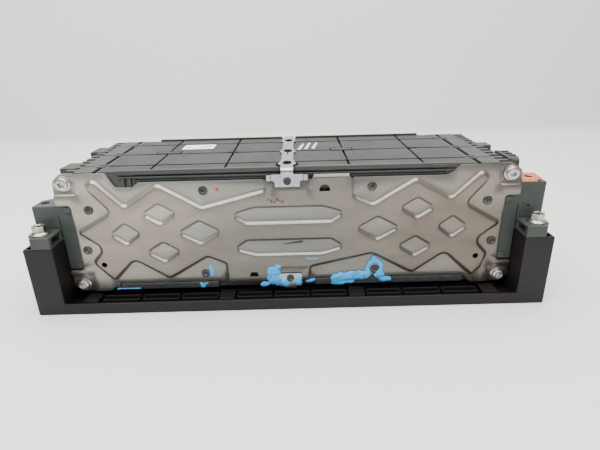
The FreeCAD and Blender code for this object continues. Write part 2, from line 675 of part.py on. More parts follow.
def terminal_nuts():
    """Captive M6 nuts under the two terminal bars."""
    solids = []
    for y in (-TERMINAL_Y, TERMINAL_Y):
        low = Vector(TERMINAL_X, y, RIGHT_BLOCK_TOP - 5)
        top = Vector(TERMINAL_X, y, RIGHT_BLOCK_TOP)
        solids.append(hexagon(HEX_FLATS, low, top).cut(rod(3.0, low, top)))
    return solids


# ---- Voltage sensing ----------------------------------------------------------------------

def sense_board(side):
    """Thin circuit board beside the frames, slotted for the tabs."""
    board = block(side * 161, side * 162.6, -63, 63, 32, BOARD_TOP)
    for index in range(CELL_COUNT):
        y = cell_middle(index)
        board = board.cut(block(side * 160, side * 164, y - 0.5, y + 0.5,
                                TAB_BOTTOM - 1, TAB_TOP + 1))
    return board


def sense_ribbon():
    """Flat ribbon under the deck, from one board's top edge to the other's."""
    return block(-162.6, 162.6, -29, -19, BOARD_TOP, BOARD_TOP + 0.4)


def connector_hollow():
    """Seat for the connector on the right housing's shoulder, and the channel for its tail."""
    seat = block(CONNECTOR_INNER - FIT, 210, CONNECTOR_FRONT - FIT, CONNECTOR_BACK + FIT,
                 CONNECTOR_BOTTOM - FIT, DECK_TOP + 1)
    channel = block(163, CONNECTOR_INNER, *SENSE_SLOT, WINDOW_TOP + 1, WINDOW_TOP + 3.2)
    drop = block(163, 168.5, *SENSE_SLOT, WINDOW_TOP - 1, WINDOW_TOP + 3.2)
    return joined([seat, channel, drop])


def signal_connector():
    """Rounded plug housing for the sensing wires, above the end of the right housing."""
    base = slab("YZ", [(CONNECTOR_FRONT, CONNECTOR_BOTTOM), (CONNECTOR_BACK, CONNECTOR_BOTTOM),
                       (CONNECTOR_BACK, DECK_TOP, 3), (CONNECTOR_FRONT, DECK_TOP, 3)],
                CONNECTOR_INNER, CONNECTOR_INNER + 5)
    nose = slab("YZ", [(CONNECTOR_FRONT + 1, CONNECTOR_BOTTOM + 0.5, 2),
                       (CONNECTOR_BACK - 1, CONNECTOR_BOTTOM + 0.5, 2),
                       (CONNECTOR_BACK - 1, DECK_TOP - 0.6, 5),
                       (CONNECTOR_FRONT + 1, DECK_TOP - 0.6, 5)],
                CONNECTOR_INNER + 1, CONNECTOR_INNER + 11)
    pocket = slab("YZ", [(CONNECTOR_FRONT + 4, CONNECTOR_BOTTOM + 3),
                         (CONNECTOR_BACK - 4, CONNECTOR_BOTTOM + 3),
                         (CONNECTOR_BACK - 4, DECK_TOP - 2.8, 3),
                         (CONNECTOR_FRONT + 4, DECK_TOP - 2.8, 3)],
                  CONNECTOR_INNER + 4, CONNECTOR_INNER + 12)
    tail = block(163.5, CONNECTOR_INNER + 1, -29.8, -18.2, WINDOW_TOP + 1.1, WINDOW_TOP + 3.1)
    drop = block(163.5, 168.2, -29.8, -18.2, WINDOW_TOP - 5, WINDOW_TOP + 3.1)
    return joined([base, nose, tail, drop]).cut(pocket)


def temperature_sensors():
    """Two thin sensors on top of the cells, under the deck."""
    solids = []
    for x, index in ((-60.0, 5), (60.0, 8)):
        y = cell_middle(index)
        solids.append(block(x - 4, x + 4, y - 2, y + 2, CELL_TOP + SEAL_WIDTH, WINDOW_TOP - 0.1))
    return solids


# ---- Straps, rivets and label -------------------------------------------------------------

def strap(level, leg_end, wing_low, wing_high):
    """Plain steel band round half of the stack, with a wide end on each of the two plates."""
    half = STRAP_WIDTH / 2
    face = TRUSS_FACE + STRAP_THICKNESS
    pieces = [block(-half, half, -face, face, level, level + STRAP_THICKNESS)]
    for y in (-1, 1):
        pieces.append(block(-half, half, y * TRUSS_FACE, y * face, level, leg_end))
        pieces.append(block(-10.5, 10.5, y * TRUSS_FACE, y * face, wing_low, wing_high))
    rivet_z = STRAP_RIVET_HEIGHTS[0 if level > STACK_MIDDLE else 1]
    drill = rod(STRAP_RIVET_SHANK + FIT, Vector(0, DRILL_FRONT, rivet_z),
                Vector(0, -DRILL_FRONT, rivet_z))
    return joined(pieces).cut(drill)


def lugged_strap():
    """The upper strap, with its three long slots and the points beside them."""
    half = STRAP_WIDTH / 2
    top = STRAP_TOP_Z + STRAP_THICKNESS
    lugs = []
    slots = []
    for y in STRAP_SLOTS_Y:
        lugs.append(slab("XY", [(-half, y - 10), (half, y - 10), (STRAP_LUG, y - 3.5, 0.5),
                                (half, y + 12), (-half, y + 12), (-STRAP_LUG, y - 3.5, 0.5)],
                         STRAP_TOP_Z, top))
        reach = STRAP_SLOT_LENGTH / 2
        radius = STRAP_SLOT_RADIUS
        slots.append(slab("XY", [(-radius, y - reach, radius - FIT), (radius, y - reach, radius - FIT),
                                 (radius, y + reach, radius - FIT), (-radius, y + reach, radius - FIT)],
                          STRAP_TOP_Z - 1, top + 1))
    band = joined([strap(STRAP_TOP_Z, 109.0, 109.0, 120.0)] + lugs)
    for slot in slots:
        band = band.cut(slot)
    return band.cut(block(-0.6, 0.6, -22, -11, STRAP_TOP_Z - 1, top + 1))


def strap_rivets():
    """Rivets through the straps' ends, the plates and the insulating sheets."""
    solids = []
    seat = TRUSS_FACE + STRAP_THICKNESS
    for y in (-1, 1):
        for z in STRAP_RIVET_HEIGHTS:
            head = Part.makeCone(3.3, 2.4, 1.3, Vector(0, y * seat, z), Vector(0, y, 0))
            shank = rod(STRAP_RIVET_SHANK, Vector(0, y * (seat + 0.5), z),
                        Vector(0, y * (STACK_HALF_DEPTH + FIT), z))
            solids.append(joined([head, shank]))
    return solids


def deck_label():
    """Small blank sticker on the third frame."""
    return slab("XY", [(-108, 19.0, 1), (-76, 19.0, 1), (-76, 39.5, 1), (-108, 39.5, 1)],
                DECK_TOP, DECK_TOP + 0.2)


# ---- Build --------------------------------------------------------------------------------

save("cradle_tray", cradle_tray())
save("cradle_inserts", cradle_inserts())
save("ear_bushes", ear_bushes())
save("ear_bolts", ear_bolts())

front_plate = end_plate()
front_rivets = plate_rivets()
front_sheet = insulator()
save("front_end_plate", front_plate)
save("rear_end_plate", turned(front_plate))
save("front_plate_rivets", front_rivets)
save("rear_plate_rivets", [turned(rivet) for rivet in front_rivets])
save("front_insulator", front_sheet)
save("rear_insulator", turned(front_sheet))
save("tie_bolts", tie_bolts())
save("tie_nuts", tie_nuts())

for number in range(len(CELLS_PER_FRAME)):
    save(f"cell_frame_{number + 1}", cell_frame(number))
for index in range(CELL_COUNT):
    save(f"cell_{index + 1:02d}", cell(index))
save("aluminium_tabs", cell_tabs(1))
save("copper_tabs", cell_tabs(-1))
save("cooling_fins", cooling_fins())
save("foam_pads", foam_pads())
save("thermal_pad", thermal_pad())

save("left_end_housing", end_housing(-1))
save("right_end_housing", end_housing(1))
save("left_busbars", busbars(-1))
save("right_busbars", busbars(1))
save("positive_terminal", terminal_bar(-1, 0))
save("negative_terminal", terminal_bar(1, CELL_COUNT - 1))
save("terminal_nuts", terminal_nuts())

save("sense_board_left", sense_board(-1))
save("sense_board_right", sense_board(1))
save("sense_ribbon", sense_ribbon())
save("signal_connector", signal_connector())
save("temperature_sensors", temperature_sensors())

save("top_strap", lugged_strap())
save("bottom_strap", strap(STRAP_BOTTOM_Z, 27.0, 15.0, 27.0))
save("strap_rivets", strap_rivets())
save("deck_label", deck_label())
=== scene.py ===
import math

import bpy
import numpy as np
from mathutils import Matrix, Vector, geometry, noise


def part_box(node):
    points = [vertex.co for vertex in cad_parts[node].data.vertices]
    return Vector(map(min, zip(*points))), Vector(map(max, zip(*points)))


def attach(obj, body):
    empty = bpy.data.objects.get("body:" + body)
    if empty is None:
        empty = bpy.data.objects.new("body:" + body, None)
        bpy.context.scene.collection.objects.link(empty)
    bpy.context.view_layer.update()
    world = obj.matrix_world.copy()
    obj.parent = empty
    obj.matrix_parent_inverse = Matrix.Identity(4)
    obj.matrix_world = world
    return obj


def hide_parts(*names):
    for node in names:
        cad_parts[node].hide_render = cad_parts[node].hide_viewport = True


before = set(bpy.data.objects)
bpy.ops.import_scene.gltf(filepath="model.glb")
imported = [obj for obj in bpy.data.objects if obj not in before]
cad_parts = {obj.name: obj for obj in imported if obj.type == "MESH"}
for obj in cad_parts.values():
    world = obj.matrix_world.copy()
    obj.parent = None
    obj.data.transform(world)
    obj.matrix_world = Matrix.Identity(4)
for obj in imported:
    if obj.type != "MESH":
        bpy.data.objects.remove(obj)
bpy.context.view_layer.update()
bpy.ops.object.select_all(action="DESELECT")


# ---- Studio ---------------------------------------------------------------------------------
# A pale floor that turns up into a pale wall behind the module, and a camera standing in front
# of it at table height, a little above the deck. Metres, in the same frame as the parts.

FLOOR_SPAN = 8.0
WALL_FROM_MIDDLE = 0.70
WALL_HEIGHT = 3.0
SWEEP_RADIUS = 0.02
CAMERA_PLACE = (0.00996, -0.43997, 0.21970)
CAMERA_TURN = (68.4247, 1.3678, -0.5252)    # degrees
LENS_LENGTH = 27.349                        # in millimetres, as the sensor's width is
SENSOR_WIDTH = 36.0
LAMPS = (                                   # name, place, turn in degrees, width, depth, watts
    ("ceiling_softbox", (-0.1, -0.10, 1.4), (-5, 0, 0), 2.2, 2.2, 84.0),
    ("front_strip", (-0.25, -1.00, 1.3), (38, 0, -8), 2.4, 0.5, 15.0),
)
AIR_COLOUR = (0.93, 0.95, 1.0, 1)
AIR_STRENGTH = 0.38

bpy.ops.object.camera_add(location=CAMERA_PLACE)
camera = bpy.context.object
camera.rotation_euler = [math.radians(angle) for angle in CAMERA_TURN]
camera.data.lens = LENS_LENGTH
camera.data.sensor_width = SENSOR_WIDTH
bpy.context.scene.camera = camera


def chart(red, green, blue):
    """A colour given as on a paint chart, 0 to 255, as the linear values that shaders use."""
    return tuple((c / 255 / 12.92) if c < 10.3 else ((c / 255 + 0.055) / 1.055) ** 2.4
                 for c in (red, green, blue))


def pick_edges(piece, wanted):
    """Goes into edit mode with just the edges selected whose two ends both pass a test."""
    bpy.ops.object.mode_set(mode="EDIT")
    bpy.ops.mesh.select_mode(type="EDGE")
    bpy.ops.mesh.select_all(action="DESELECT")
    bpy.ops.object.mode_set(mode="OBJECT")
    for edge in piece.data.edges:
        edge.select = all(wanted(piece.data.vertices[v].co) for v in edge.vertices)
    bpy.ops.object.mode_set(mode="EDIT")


bpy.ops.mesh.primitive_plane_add(size=FLOOR_SPAN,
                                 location=(0, WALL_FROM_MIDDLE - FLOOR_SPAN / 2, 0))
studio_floor = bpy.context.object
studio_floor.name = "studio_floor"
bpy.ops.object.transform_apply(location=True)
pick_edges(studio_floor, lambda spot: spot.y > 0)
bpy.ops.mesh.extrude_region_move(TRANSFORM_OT_translate={"value": (0, 0, WALL_HEIGHT)})
bpy.ops.object.mode_set(mode="OBJECT")
sweep = studio_floor.modifiers.new("sweep", "BEVEL")
sweep.width = SWEEP_RADIUS
sweep.segments = 12
bpy.context.view_layer.objects.active = studio_floor
bpy.ops.object.modifier_apply(modifier="sweep")
bpy.ops.object.shade_smooth()

backdrop_paint = bpy.data.materials.new("backdrop_paint")
backdrop_paint.use_nodes = True
backdrop_shader = backdrop_paint.node_tree.nodes["Principled BSDF"]
backdrop_shader.inputs["Base Color"].default_value = (*chart(226, 225, 222), 1)
backdrop_shader.inputs["Roughness"].default_value = 0.7
studio_floor.data.materials.append(backdrop_paint)

for lamp_name, place, turn, width, depth, power in LAMPS:
    bpy.ops.object.light_add(type="AREA", location=place,
                             rotation=[math.radians(angle) for angle in turn])
    softbox = bpy.context.object
    softbox.name = lamp_name
    softbox.data.shape = "RECTANGLE"
    softbox.data.size = width
    softbox.data.size_y = depth
    softbox.data.energy = power

room_air = bpy.data.worlds.new("room_air")
room_air.use_nodes = True
background = room_air.node_tree.nodes["Background"]
background.inputs["Color"].default_value = AIR_COLOUR
background.inputs["Strength"].default_value = AIR_STRENGTH
bpy.context.scene.world = room_air


# ---- Cradle ---------------------------------------------------------------------------------
# One injection moulding in brown-black glass-filled plastic: a low ribbed tray with an
# open-topped hollow tower at each end. The module hangs between the towers by its four ears.

TOWER_WIDTH = 0.025
CRADLE_WALL = 0.0025
TRAY_FLOOR = 0.003
LIP_HEIGHT = 0.0105
RIB_TOP = 0.007
RIB_THICKNESS = 0.0016
RIB_FOOT = 0.001
RIB_ROWS = (-0.062, -0.042, -0.021, 0.0, 0.021, 0.042, 0.062)
RIB_COLUMNS = (-0.168, -0.112, -0.056, 0.0, 0.056, 0.112, 0.168)
TOWER_RIB_TOP = 0.014
TROUGH_RUNS = ((-0.171, -0.0664), (-0.049, 0.0508), (0.069, 0.170))
TROUGH_GAP = 0.003
TROUGH_PADS = ((-0.187, -0.174), (-0.0645, -0.0510), (0.0530, 0.0670), (0.173, 0.187))
CRADLE_FOOT, CRADLE_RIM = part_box("cradle_tray")


def only(piece):
    """Selects one piece alone, and makes it the active one."""
    bpy.ops.object.select_all(action="DESELECT")
    piece.select_set(True)
    bpy.context.view_layer.objects.active = piece


def box_between(name, low, high):
    """A box between two corners, as a new piece with its place in its mesh."""
    bpy.ops.mesh.primitive_cube_add(size=1, location=[(a + b) / 2 for a, b in zip(low, high)])
    box = bpy.context.object
    box.name = box.data.name = name
    box.scale = [abs(b - a) for a, b in zip(low, high)]
    bpy.ops.object.transform_apply(location=True, rotation=True, scale=True)
    return box


def cut_across(piece, place, normal):
    """An edge loop right round the piece, where a plane crosses it."""
    bpy.context.view_layer.objects.active = piece
    bpy.ops.object.mode_set(mode="EDIT")
    bpy.ops.mesh.select_all(action="SELECT")
    bpy.ops.mesh.bisect(plane_co=place, plane_no=normal)
    bpy.ops.object.mode_set(mode="OBJECT")


def pick_faces(piece, wanted):
    """Goes into edit mode with just the faces selected whose centre and normal pass a test."""
    bpy.context.view_layer.objects.active = piece
    bpy.ops.object.mode_set(mode="EDIT")
    bpy.ops.mesh.select_mode(type="FACE")
    bpy.ops.mesh.select_all(action="DESELECT")
    bpy.ops.object.mode_set(mode="OBJECT")
    for polygon in piece.data.polygons:
        polygon.select = wanted(polygon.center, polygon.normal)
    bpy.ops.object.mode_set(mode="EDIT")


def pull_faces(piece, wanted, move, inset=0.0):
    """Insets the picked faces, if asked, and extrudes them by a move."""
    pick_faces(piece, wanted)
    if inset:
        bpy.ops.mesh.inset(thickness=inset)
    bpy.ops.mesh.extrude_region_move(TRANSFORM_OT_translate={"value": move})
    bpy.ops.object.mode_set(mode="OBJECT")


def soften(piece, width, segments=2, angle=35.0):
    """Rounds the piece's sharp edges, keeping its flat faces flat to the light."""
    only(piece)
    bpy.ops.object.shade_smooth()
    edge_round = piece.modifiers.new("edge_round", "BEVEL")
    edge_round.width = width
    edge_round.segments = segments
    edge_round.limit_method = "ANGLE"
    edge_round.angle_limit = math.radians(angle)
    edge_round.harden_normals = True
    bpy.ops.object.modifier_apply(modifier="edge_round")
    return piece


def join_pieces(name, pieces):
    """Several meshes as one piece."""
    bpy.ops.object.select_all(action="DESELECT")
    for piece in pieces:
        piece.select_set(True)
    bpy.context.view_layer.objects.active = pieces[0]
    if len(pieces) > 1:
        bpy.ops.object.join()
    pieces[0].name = pieces[0].data.name = name
    return pieces[0]


def make_group(name, inputs, outputs):
    """An empty shader group with its sockets, its entry node and its exit node."""
    group = bpy.data.node_groups.new(name, "ShaderNodeTree")
    for label, kind in inputs:
        group.interface.new_socket(name=label, in_out="INPUT", socket_type=kind)
    for label, kind in outputs:
        group.interface.new_socket(name=label, in_out="OUTPUT", socket_type=kind)
    return group, group.nodes.new("NodeGroupInput"), group.nodes.new("NodeGroupOutput")


def remap(tree, source, low, high, new_low=0.0, new_high=1.0):
    """A node that carries one range of a value over to another, held at both ends."""
    node = tree.nodes.new("ShaderNodeMapRange")
    for label, value in (("From Min", low), ("From Max", high), ("To Min", new_low),
                         ("To Max", new_high)):
        node.inputs[label].default_value = value
    tree.links.new(source, node.inputs["Value"])
    return node


def blend(tree, first, second, share=None):
    """A node that multiplies two colours, or goes from one to the other by a share."""
    node = tree.nodes.new("ShaderNodeMix")
    node.data_type = "RGBA"
    if share:
        tree.links.new(share, node.inputs["Factor"])
    else:
        node.blend_type = "MULTIPLY"
        node.inputs["Factor"].default_value = 1.0
    for label, end in (("A", first), ("B", second)):
        if isinstance(end, tuple):
            node.inputs[label].default_value = (*chart(*end), 1)
        else:
            tree.links.new(end, node.inputs[label])
    return node


COLOUR, NUMBER, DIRECTION = "NodeSocketColor", "NodeSocketFloat", "NodeSocketVector"

# Two shades that wander over a surface, with a gloss that wanders too and a fine grain.
mottle_group, entry, leave = make_group(
    "wandering_shade",
    [("Light", COLOUR), ("Dark", COLOUR), ("Patch Scale", NUMBER), ("Grain Scale", NUMBER),
     ("Smooth", NUMBER), ("Rough", NUMBER), ("Stretch", DIRECTION)],
    [("Color", COLOUR), ("Roughness", NUMBER), ("Grain", NUMBER)])
group_links = mottle_group.links
where = mottle_group.nodes.new("ShaderNodeTexCoord")
stretch = mottle_group.nodes.new("ShaderNodeMapping")
group_links.new(where.outputs["Object"], stretch.inputs["Vector"])
group_links.new(entry.outputs["Stretch"], stretch.inputs["Scale"])
patches = mottle_group.nodes.new("ShaderNodeTexNoise")
patches.inputs["Detail"].default_value = 6.0
patches.inputs["Roughness"].default_value = 0.62
group_links.new(stretch.outputs["Vector"], patches.inputs["Vector"])
group_links.new(entry.outputs["Patch Scale"], patches.inputs["Scale"])
grain = mottle_group.nodes.new("ShaderNodeTexNoise")
grain.inputs["Detail"].default_value = 3.0
group_links.new(stretch.outputs["Vector"], grain.inputs["Vector"])
group_links.new(entry.outputs["Grain Scale"], grain.inputs["Scale"])
contrast = remap(mottle_group, patches.outputs["Fac"], 0.32, 0.68)
shade = blend(mottle_group, entry.outputs["Dark"], entry.outputs["Light"],
              contrast.outputs["Result"])
gloss = remap(mottle_group, grain.outputs["Fac"], 0.3, 0.7)
group_links.new(entry.outputs["Smooth"], gloss.inputs["To Min"])
group_links.new(entry.outputs["Rough"], gloss.inputs["To Max"])
group_links.new(shade.outputs["Result"], leave.inputs["Color"])
group_links.new(gloss.outputs["Result"], leave.inputs["Roughness"])
group_links.new(grain.outputs["Fac"], leave.inputs["Grain"])


def finish_of(name, light, dark, patch, grain_scale, smooth, rough, metallic=0.0, relief=0.15,
              stretched=(1, 1, 1), mirror=0.5):
    """A material in two chart colours, with the wandering shade and a fine grain in relief."""
    material = bpy.data.materials.new(name)
    material.use_nodes = True
    tree = material.node_tree
    shader = tree.nodes["Principled BSDF"]
    shader.inputs["Metallic"].default_value = metallic
    shader.inputs["Specular IOR Level"].default_value = mirror
    mottle = tree.nodes.new("ShaderNodeGroup")
    mottle.name = "wandering_shade"
    mottle.node_tree = mottle_group
    mottle.inputs["Light"].default_value = (*chart(*light), 1)
    mottle.inputs["Dark"].default_value = (*chart(*dark), 1)
    mottle.inputs["Patch Scale"].default_value = patch
    mottle.inputs["Grain Scale"].default_value = grain_scale
    mottle.inputs["Smooth"].default_value = smooth
    mottle.inputs["Rough"].default_value = rough
    mottle.inputs["Stretch"].default_value = stretched
    bump = tree.nodes.new("ShaderNodeBump")
    bump.inputs["Strength"].default_value = relief
    bump.inputs["Distance"].default_value = 0.0004
    tree.links.new(mottle.outputs["Color"], shader.inputs["Base Color"])
    tree.links.new(mottle.outputs["Roughness"], shader.inputs["Roughness"])
    tree.links.new(mottle.outputs["Grain"], bump.inputs["Height"])
    tree.links.new(bump.outputs["Normal"], shader.inputs["Normal"])
    return material


def place_piece(piece, material, slot, *nodes):
    """Gives a finished piece its material and its place among the parts; the slot is not used."""
    piece.data.materials.clear()
    piece.data.materials.append(material)
    if nodes:
        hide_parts(*nodes)
    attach(piece, "root")
    return piece


tower_inner = CRADLE_RIM.x - TOWER_WIDTH
cradle = box_between("cradle", CRADLE_FOOT, (CRADLE_RIM.x, CRADLE_RIM.y, LIP_HEIGHT))
for side in (-1, 1):
    cut_across(cradle, (side * tower_inner, 0, 0), (1, 0, 0))
    cut_across(cradle, (0, side * (CRADLE_RIM.y - CRADLE_WALL), 0), (0, 1, 0))
pull_faces(cradle, lambda c, n: n.z > 0.9 and abs(c.x) > tower_inner,
           (0, 0, CRADLE_RIM.z - LIP_HEIGHT))
pull_faces(cradle, lambda c, n: n.z > 0.9 and c.z > LIP_HEIGHT + 0.001,
           (0, 0, TRAY_FLOOR - CRADLE_RIM.z), inset=CRADLE_WALL)
pull_faces(cradle, lambda c, n: n.z > 0.9 and abs(c.x) < tower_inner and abs(c.y) < 0.05
           and c.z > TRAY_FLOOR + 0.001, (0, 0, TRAY_FLOOR - LIP_HEIGHT))
soften(cradle, 0.0009, 2)

ribs = []
for y in RIB_ROWS:
    ribs.append(box_between("rib", (RIB_COLUMNS[0], y - RIB_THICKNESS / 2, RIB_FOOT),
                            (RIB_COLUMNS[-1], y + RIB_THICKNESS / 2, RIB_TOP)))
for x in RIB_COLUMNS:
    ribs.append(box_between("rib", (x - RIB_THICKNESS / 2, -0.0655, RIB_FOOT),
                            (x + RIB_THICKNESS / 2, 0.0655, RIB_TOP - 0.0002)))
for end in (-1, 1):
    for start, stop in TROUGH_RUNS:
        bar = (stop - start - 2 * TROUGH_GAP) / 3
        for k in range(3):
            x = start + k * (bar + TROUGH_GAP)
            for y, top in ((0.0708, RIB_TOP + 0.0018), (0.0775, RIB_TOP + 0.0012)):
                ribs.append(box_between("bar", (x, end * (y - 0.0009), RIB_FOOT),
                                        (x + bar, end * (y + 0.0009), top)))
            for edge in (x, x + bar - 0.0014):
                ribs.append(box_between("web", (edge, end * 0.0700, RIB_FOOT),
                                        (edge + 0.0014, end * 0.0782, RIB_TOP + 0.0008)))
    for start, stop in TROUGH_PADS:
        ribs.append(box_between("pad", (start, end * 0.0650, RIB_FOOT),
                                (stop, end * 0.0825, RIB_TOP + 0.0022)))
for side in (-1, 1):
    for y in (-0.030, 0.0, 0.030):
        ribs.append(box_between("rib", (side * (tower_inner + 0.001), y - 0.001, RIB_FOOT),
                                (side * (CRADLE_RIM.x - 0.001), y + 0.001, TOWER_RIB_TOP)))
    for end in (-1, 1):
        ribs.append(box_between("boss", (side * (tower_inner + 0.0005), end * 0.088, RIB_FOOT),
                                (side * 0.217, end * 0.066, CRADLE_RIM.z - 0.0003)))
tray_ribs = soften(join_pieces("tray_ribs", ribs), 0.0003, 2)
cradle = join_pieces("cradle", [cradle, tray_ribs])

cradle_plastic = finish_of("brown_black_plastic", (23, 20, 18), (14, 12, 11), 7.0, 2600.0,
                           0.40, 0.60, relief=0.12, mirror=0.3)
place_piece(cradle, cradle_plastic, "cradle_plastic", "cradle_tray")


# ---- Brass inserts --------------------------------------------------------------------------
# Knurled brass sleeves, pressed hot into the tower bosses under the four ears. Only their bore
# is ever seen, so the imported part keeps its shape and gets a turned-brass finish.

def dress(node, material):
    """Puts a finish on a part that keeps the shape it has."""
    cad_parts[node].data.materials.clear()
    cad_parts[node].data.materials.append(material)


turned_brass = finish_of("turned_brass", (196, 160, 92), (172, 134, 70), 120.0, 3000.0,
                         0.28, 0.42, metallic=1.0, relief=0.05, stretched=(1, 1, 6))
dress("cradle_inserts", turned_brass)


# ---- Cell frames and deck -------------------------------------------------------------------
# Four moulded black rings stacked front to back, with two, four, four and two cells in them.
# Their stepped top edges make the deck, with a channel at each seam and four cross grooves.

FRAME_WALL_SIDE = 0.007
WINDOW_BOTTOM = 0.024
WINDOW_TOP = 0.118
SEAM_STEP = 0.0016
SEAM_DEPTH = 0.0040
RIM_STEP = 0.0006
GROOVE_HALF = 0.0009
GROOVE_DEPTH = 0.0030
DECK_LINES = (0.0533, 0.1169)

deck_plastic = finish_of("deck_plastic", (56, 57, 53), (36, 38, 35), 24.0, 2400.0,
                         0.42, 0.62, relief=0.14, mirror=0.3)


def ring_frame(number):
    """A ring round its cells, with a bevelled top edge and grooves across its strip of deck."""
    low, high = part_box(f"cell_frame_{number}")
    front_step = RIM_STEP if number == 1 else SEAM_STEP
    rear_step = RIM_STEP if number == 4 else SEAM_STEP
    shoulder = high.z - SEAM_DEPTH
    ring = box_between(f"deck_frame_{number}", low, (high.x, high.y, shoulder))
    pick_faces(ring, lambda c, n: abs(n.y) > 0.9)
    bpy.ops.mesh.delete(type="FACE")
    bpy.ops.object.mode_set(mode="OBJECT")
    inner = box_between("ring_inside", (low.x + FRAME_WALL_SIDE, low.y, WINDOW_BOTTOM),
                        (high.x - FRAME_WALL_SIDE, high.y, WINDOW_TOP))
    pick_faces(inner, lambda c, n: abs(n.y) > 0.9)
    bpy.ops.mesh.delete(type="FACE")
    bpy.ops.mesh.select_all(action="SELECT")
    bpy.ops.mesh.flip_normals()
    bpy.ops.object.mode_set(mode="OBJECT")
    ring = join_pieces(ring.name, [ring, inner])
    for y in (low.y, high.y):
        pick_edges(ring, lambda spot: abs(spot.y - y) < 1e-6)
        bpy.ops.mesh.bridge_edge_loops()
        bpy.ops.object.mode_set(mode="OBJECT")
    for x in DECK_LINES:
        for side in (-1, 1):
            for edge_x in (side * x - GROOVE_HALF, side * x + GROOVE_HALF):
                cut_across(ring, (edge_x, 0, 0), (1, 0, 0))
    for y in (low.y + front_step, high.y - rear_step):
        cut_across(ring, (0, y, 0), (0, 1, 0))
    pull_faces(ring, lambda c, n: n.z > 0.9 and c.z > shoulder - 1e-5
               and low.y + front_step < c.y < high.y - rear_step, (0, 0, SEAM_DEPTH))
    pull_faces(ring, lambda c, n: n.z > 0.9 and c.z > high.z - 1e-5
               and any(abs(abs(c.x) - x) < GROOVE_HALF for x in DECK_LINES),
               (0, 0, -GROOVE_DEPTH))
    soften(ring, 0.0004, 2, angle=20.0)
    return ring


for number in (1, 2, 3, 4):
    place_piece(ring_frame(number), deck_plastic, "frame_plastic", f"cell_frame_{number}")

SURE_DEPTH = 0.001      # how far a raised detail starts below the surface that it stands on
LOCK_TABS = ((-0.128, -0.106, 0.0012, 0.0090), (0.042, 0.062, -0.0010, 0.0072))
LOCK_POCKETS = ((-0.058, -0.047), (0.116, 0.126))

# A flat black that paints the shade inside gaps, pockets and slots, as thin pieces laid in them;
# the two strap clips are made in it too.
gap_shade_black = finish_of("gap_shade_black", (11, 11, 11), (7, 7, 7), 60.0, 2400.0, 0.8, 0.95,
                       mirror=0.1)
deck_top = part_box("cell_frame_1")[1].z
# The black rims round the lock tabs and the black lock pockets are painted shade in their grooves
# and recesses.
tabs, gap_shades_and_clips = [], []
for x0, x1, y0, y1 in LOCK_TABS:
    tabs.append(box_between("lock_tab", (x0, y0, deck_top - SURE_DEPTH),
                            (x1, y1, deck_top + 0.0004)))
    gap_shades_and_clips.append(box_between("tab_gap_shade", (x0 - 0.0012, y0 - 0.0030, deck_top - SURE_DEPTH),
                            (x1 + 0.0012, y1 + 0.0024, deck_top + 0.0001)))
for x0, x1 in LOCK_POCKETS:
    gap_shades_and_clips.append(box_between("lock_pocket_shade", (x0, -0.0026, deck_top - SURE_DEPTH),
                            (x1, 0.0026, deck_top + 0.0001)))
for side in (-1, 1):
    gap_shades_and_clips.append(box_between("strap_clip", (side * 0.0065, -0.062, deck_top - SURE_DEPTH),
                            (side * 0.0096, -0.052, deck_top + 0.0012)))
place_piece(soften(join_pieces("deck_lock_tabs", tabs), 0.0003), deck_plastic, "frame_plastic")
place_piece(soften(join_pieces("deck_gap_shades_and_clips", gap_shades_and_clips), 0.0001, 1), gap_shade_black, "frame_plastic")


# ---- Cells and what lies between them -------------------------------------------------------
# Twelve flat cells in aluminium-laminate film, in pairs with a cooling fin between the two and
# a foam pad after them. Foil tabs, aluminium and copper by turns, come out at both ends.

cell_film = finish_of("laminate_film", (168, 170, 172), (142, 145, 148), 40.0, 1400.0,
                      0.22, 0.38, metallic=0.9, relief=0.3)
fin_sheet = finish_of("rolled_aluminium", (190, 192, 194), (170, 172, 175), 12.0, 2200.0,
                      0.25, 0.38, metallic=1.0, relief=0.06, stretched=(1, 8, 1))
tab_copper = finish_of("tab_copper", (206, 136, 96), (184, 112, 74), 60.0, 2600.0,
                       0.24, 0.36, metallic=1.0, relief=0.05)
pad_foam = finish_of("pad_foam", (52, 54, 58), (40, 42, 46), 90.0, 1500.0,
                     0.85, 0.95, relief=0.9)
heat_paste = finish_of("heat_paste", (122, 190, 232), (96, 168, 216), 70.0, 900.0,
                       0.38, 0.52, relief=0.25)
for index in range(12):
    dress(f"cell_{index + 1:02d}", cell_film)
dress("cooling_fins", fin_sheet)
dress("aluminium_tabs", fin_sheet)
dress("copper_tabs", tab_copper)
dress("foam_pads", pad_foam)
dress("thermal_pad", heat_paste)


# ---- End housings ---------------------------------------------------------------------------
# Grey-green moulded covers over the tab ends. Each has a comb of slots along the deck beyond a
# gap filled with a black strip of painted shade, two blocks standing out at the ends, and two ears
# that carry it on the cradle.

HOUSING_OUTER = 0.1995
COMB_INNER = 0.181
COMB_OUTER = 0.1905
COMB_BASE = 0.1205
CAP_INNER = 0.158
CAP_CHAMFER_FOOT = 0.112
STACK_HALF_DEPTH = 0.0655
CELL_PITCH = 2 * STACK_HALF_DEPTH / 12
COMB_SLOT = 0.0056
DECK_TOP = 0.1237
MODULE_BOTTOM = 0.013
BLOCK_OUTER = 0.2217
BLOCK_NEAR = 0.0665
BLOCK_FAR = 0.0425
EAR_LOW = 0.064
EAR_HIGH = 0.074
EAR_OUTER = 0.2225
FRAME_SEAMS = (-4 * CELL_PITCH, 0.0, 4 * CELL_PITCH)
SEAM_HALF = 0.0008
CAP_GROOVE = 0.0020
CAP_LINE = (0.1612, 0.1645)
CAP_LINE_DEPTH = 0.0034
HOOK = ((0.1595, 0.0018), (0.1668, 0.0018), (0.1680, 0.0034), (0.1668, 0.0050),
        (0.1595, 0.0050))
BLOCK_TOPS = {-1: 0.095, 1: 0.1063}
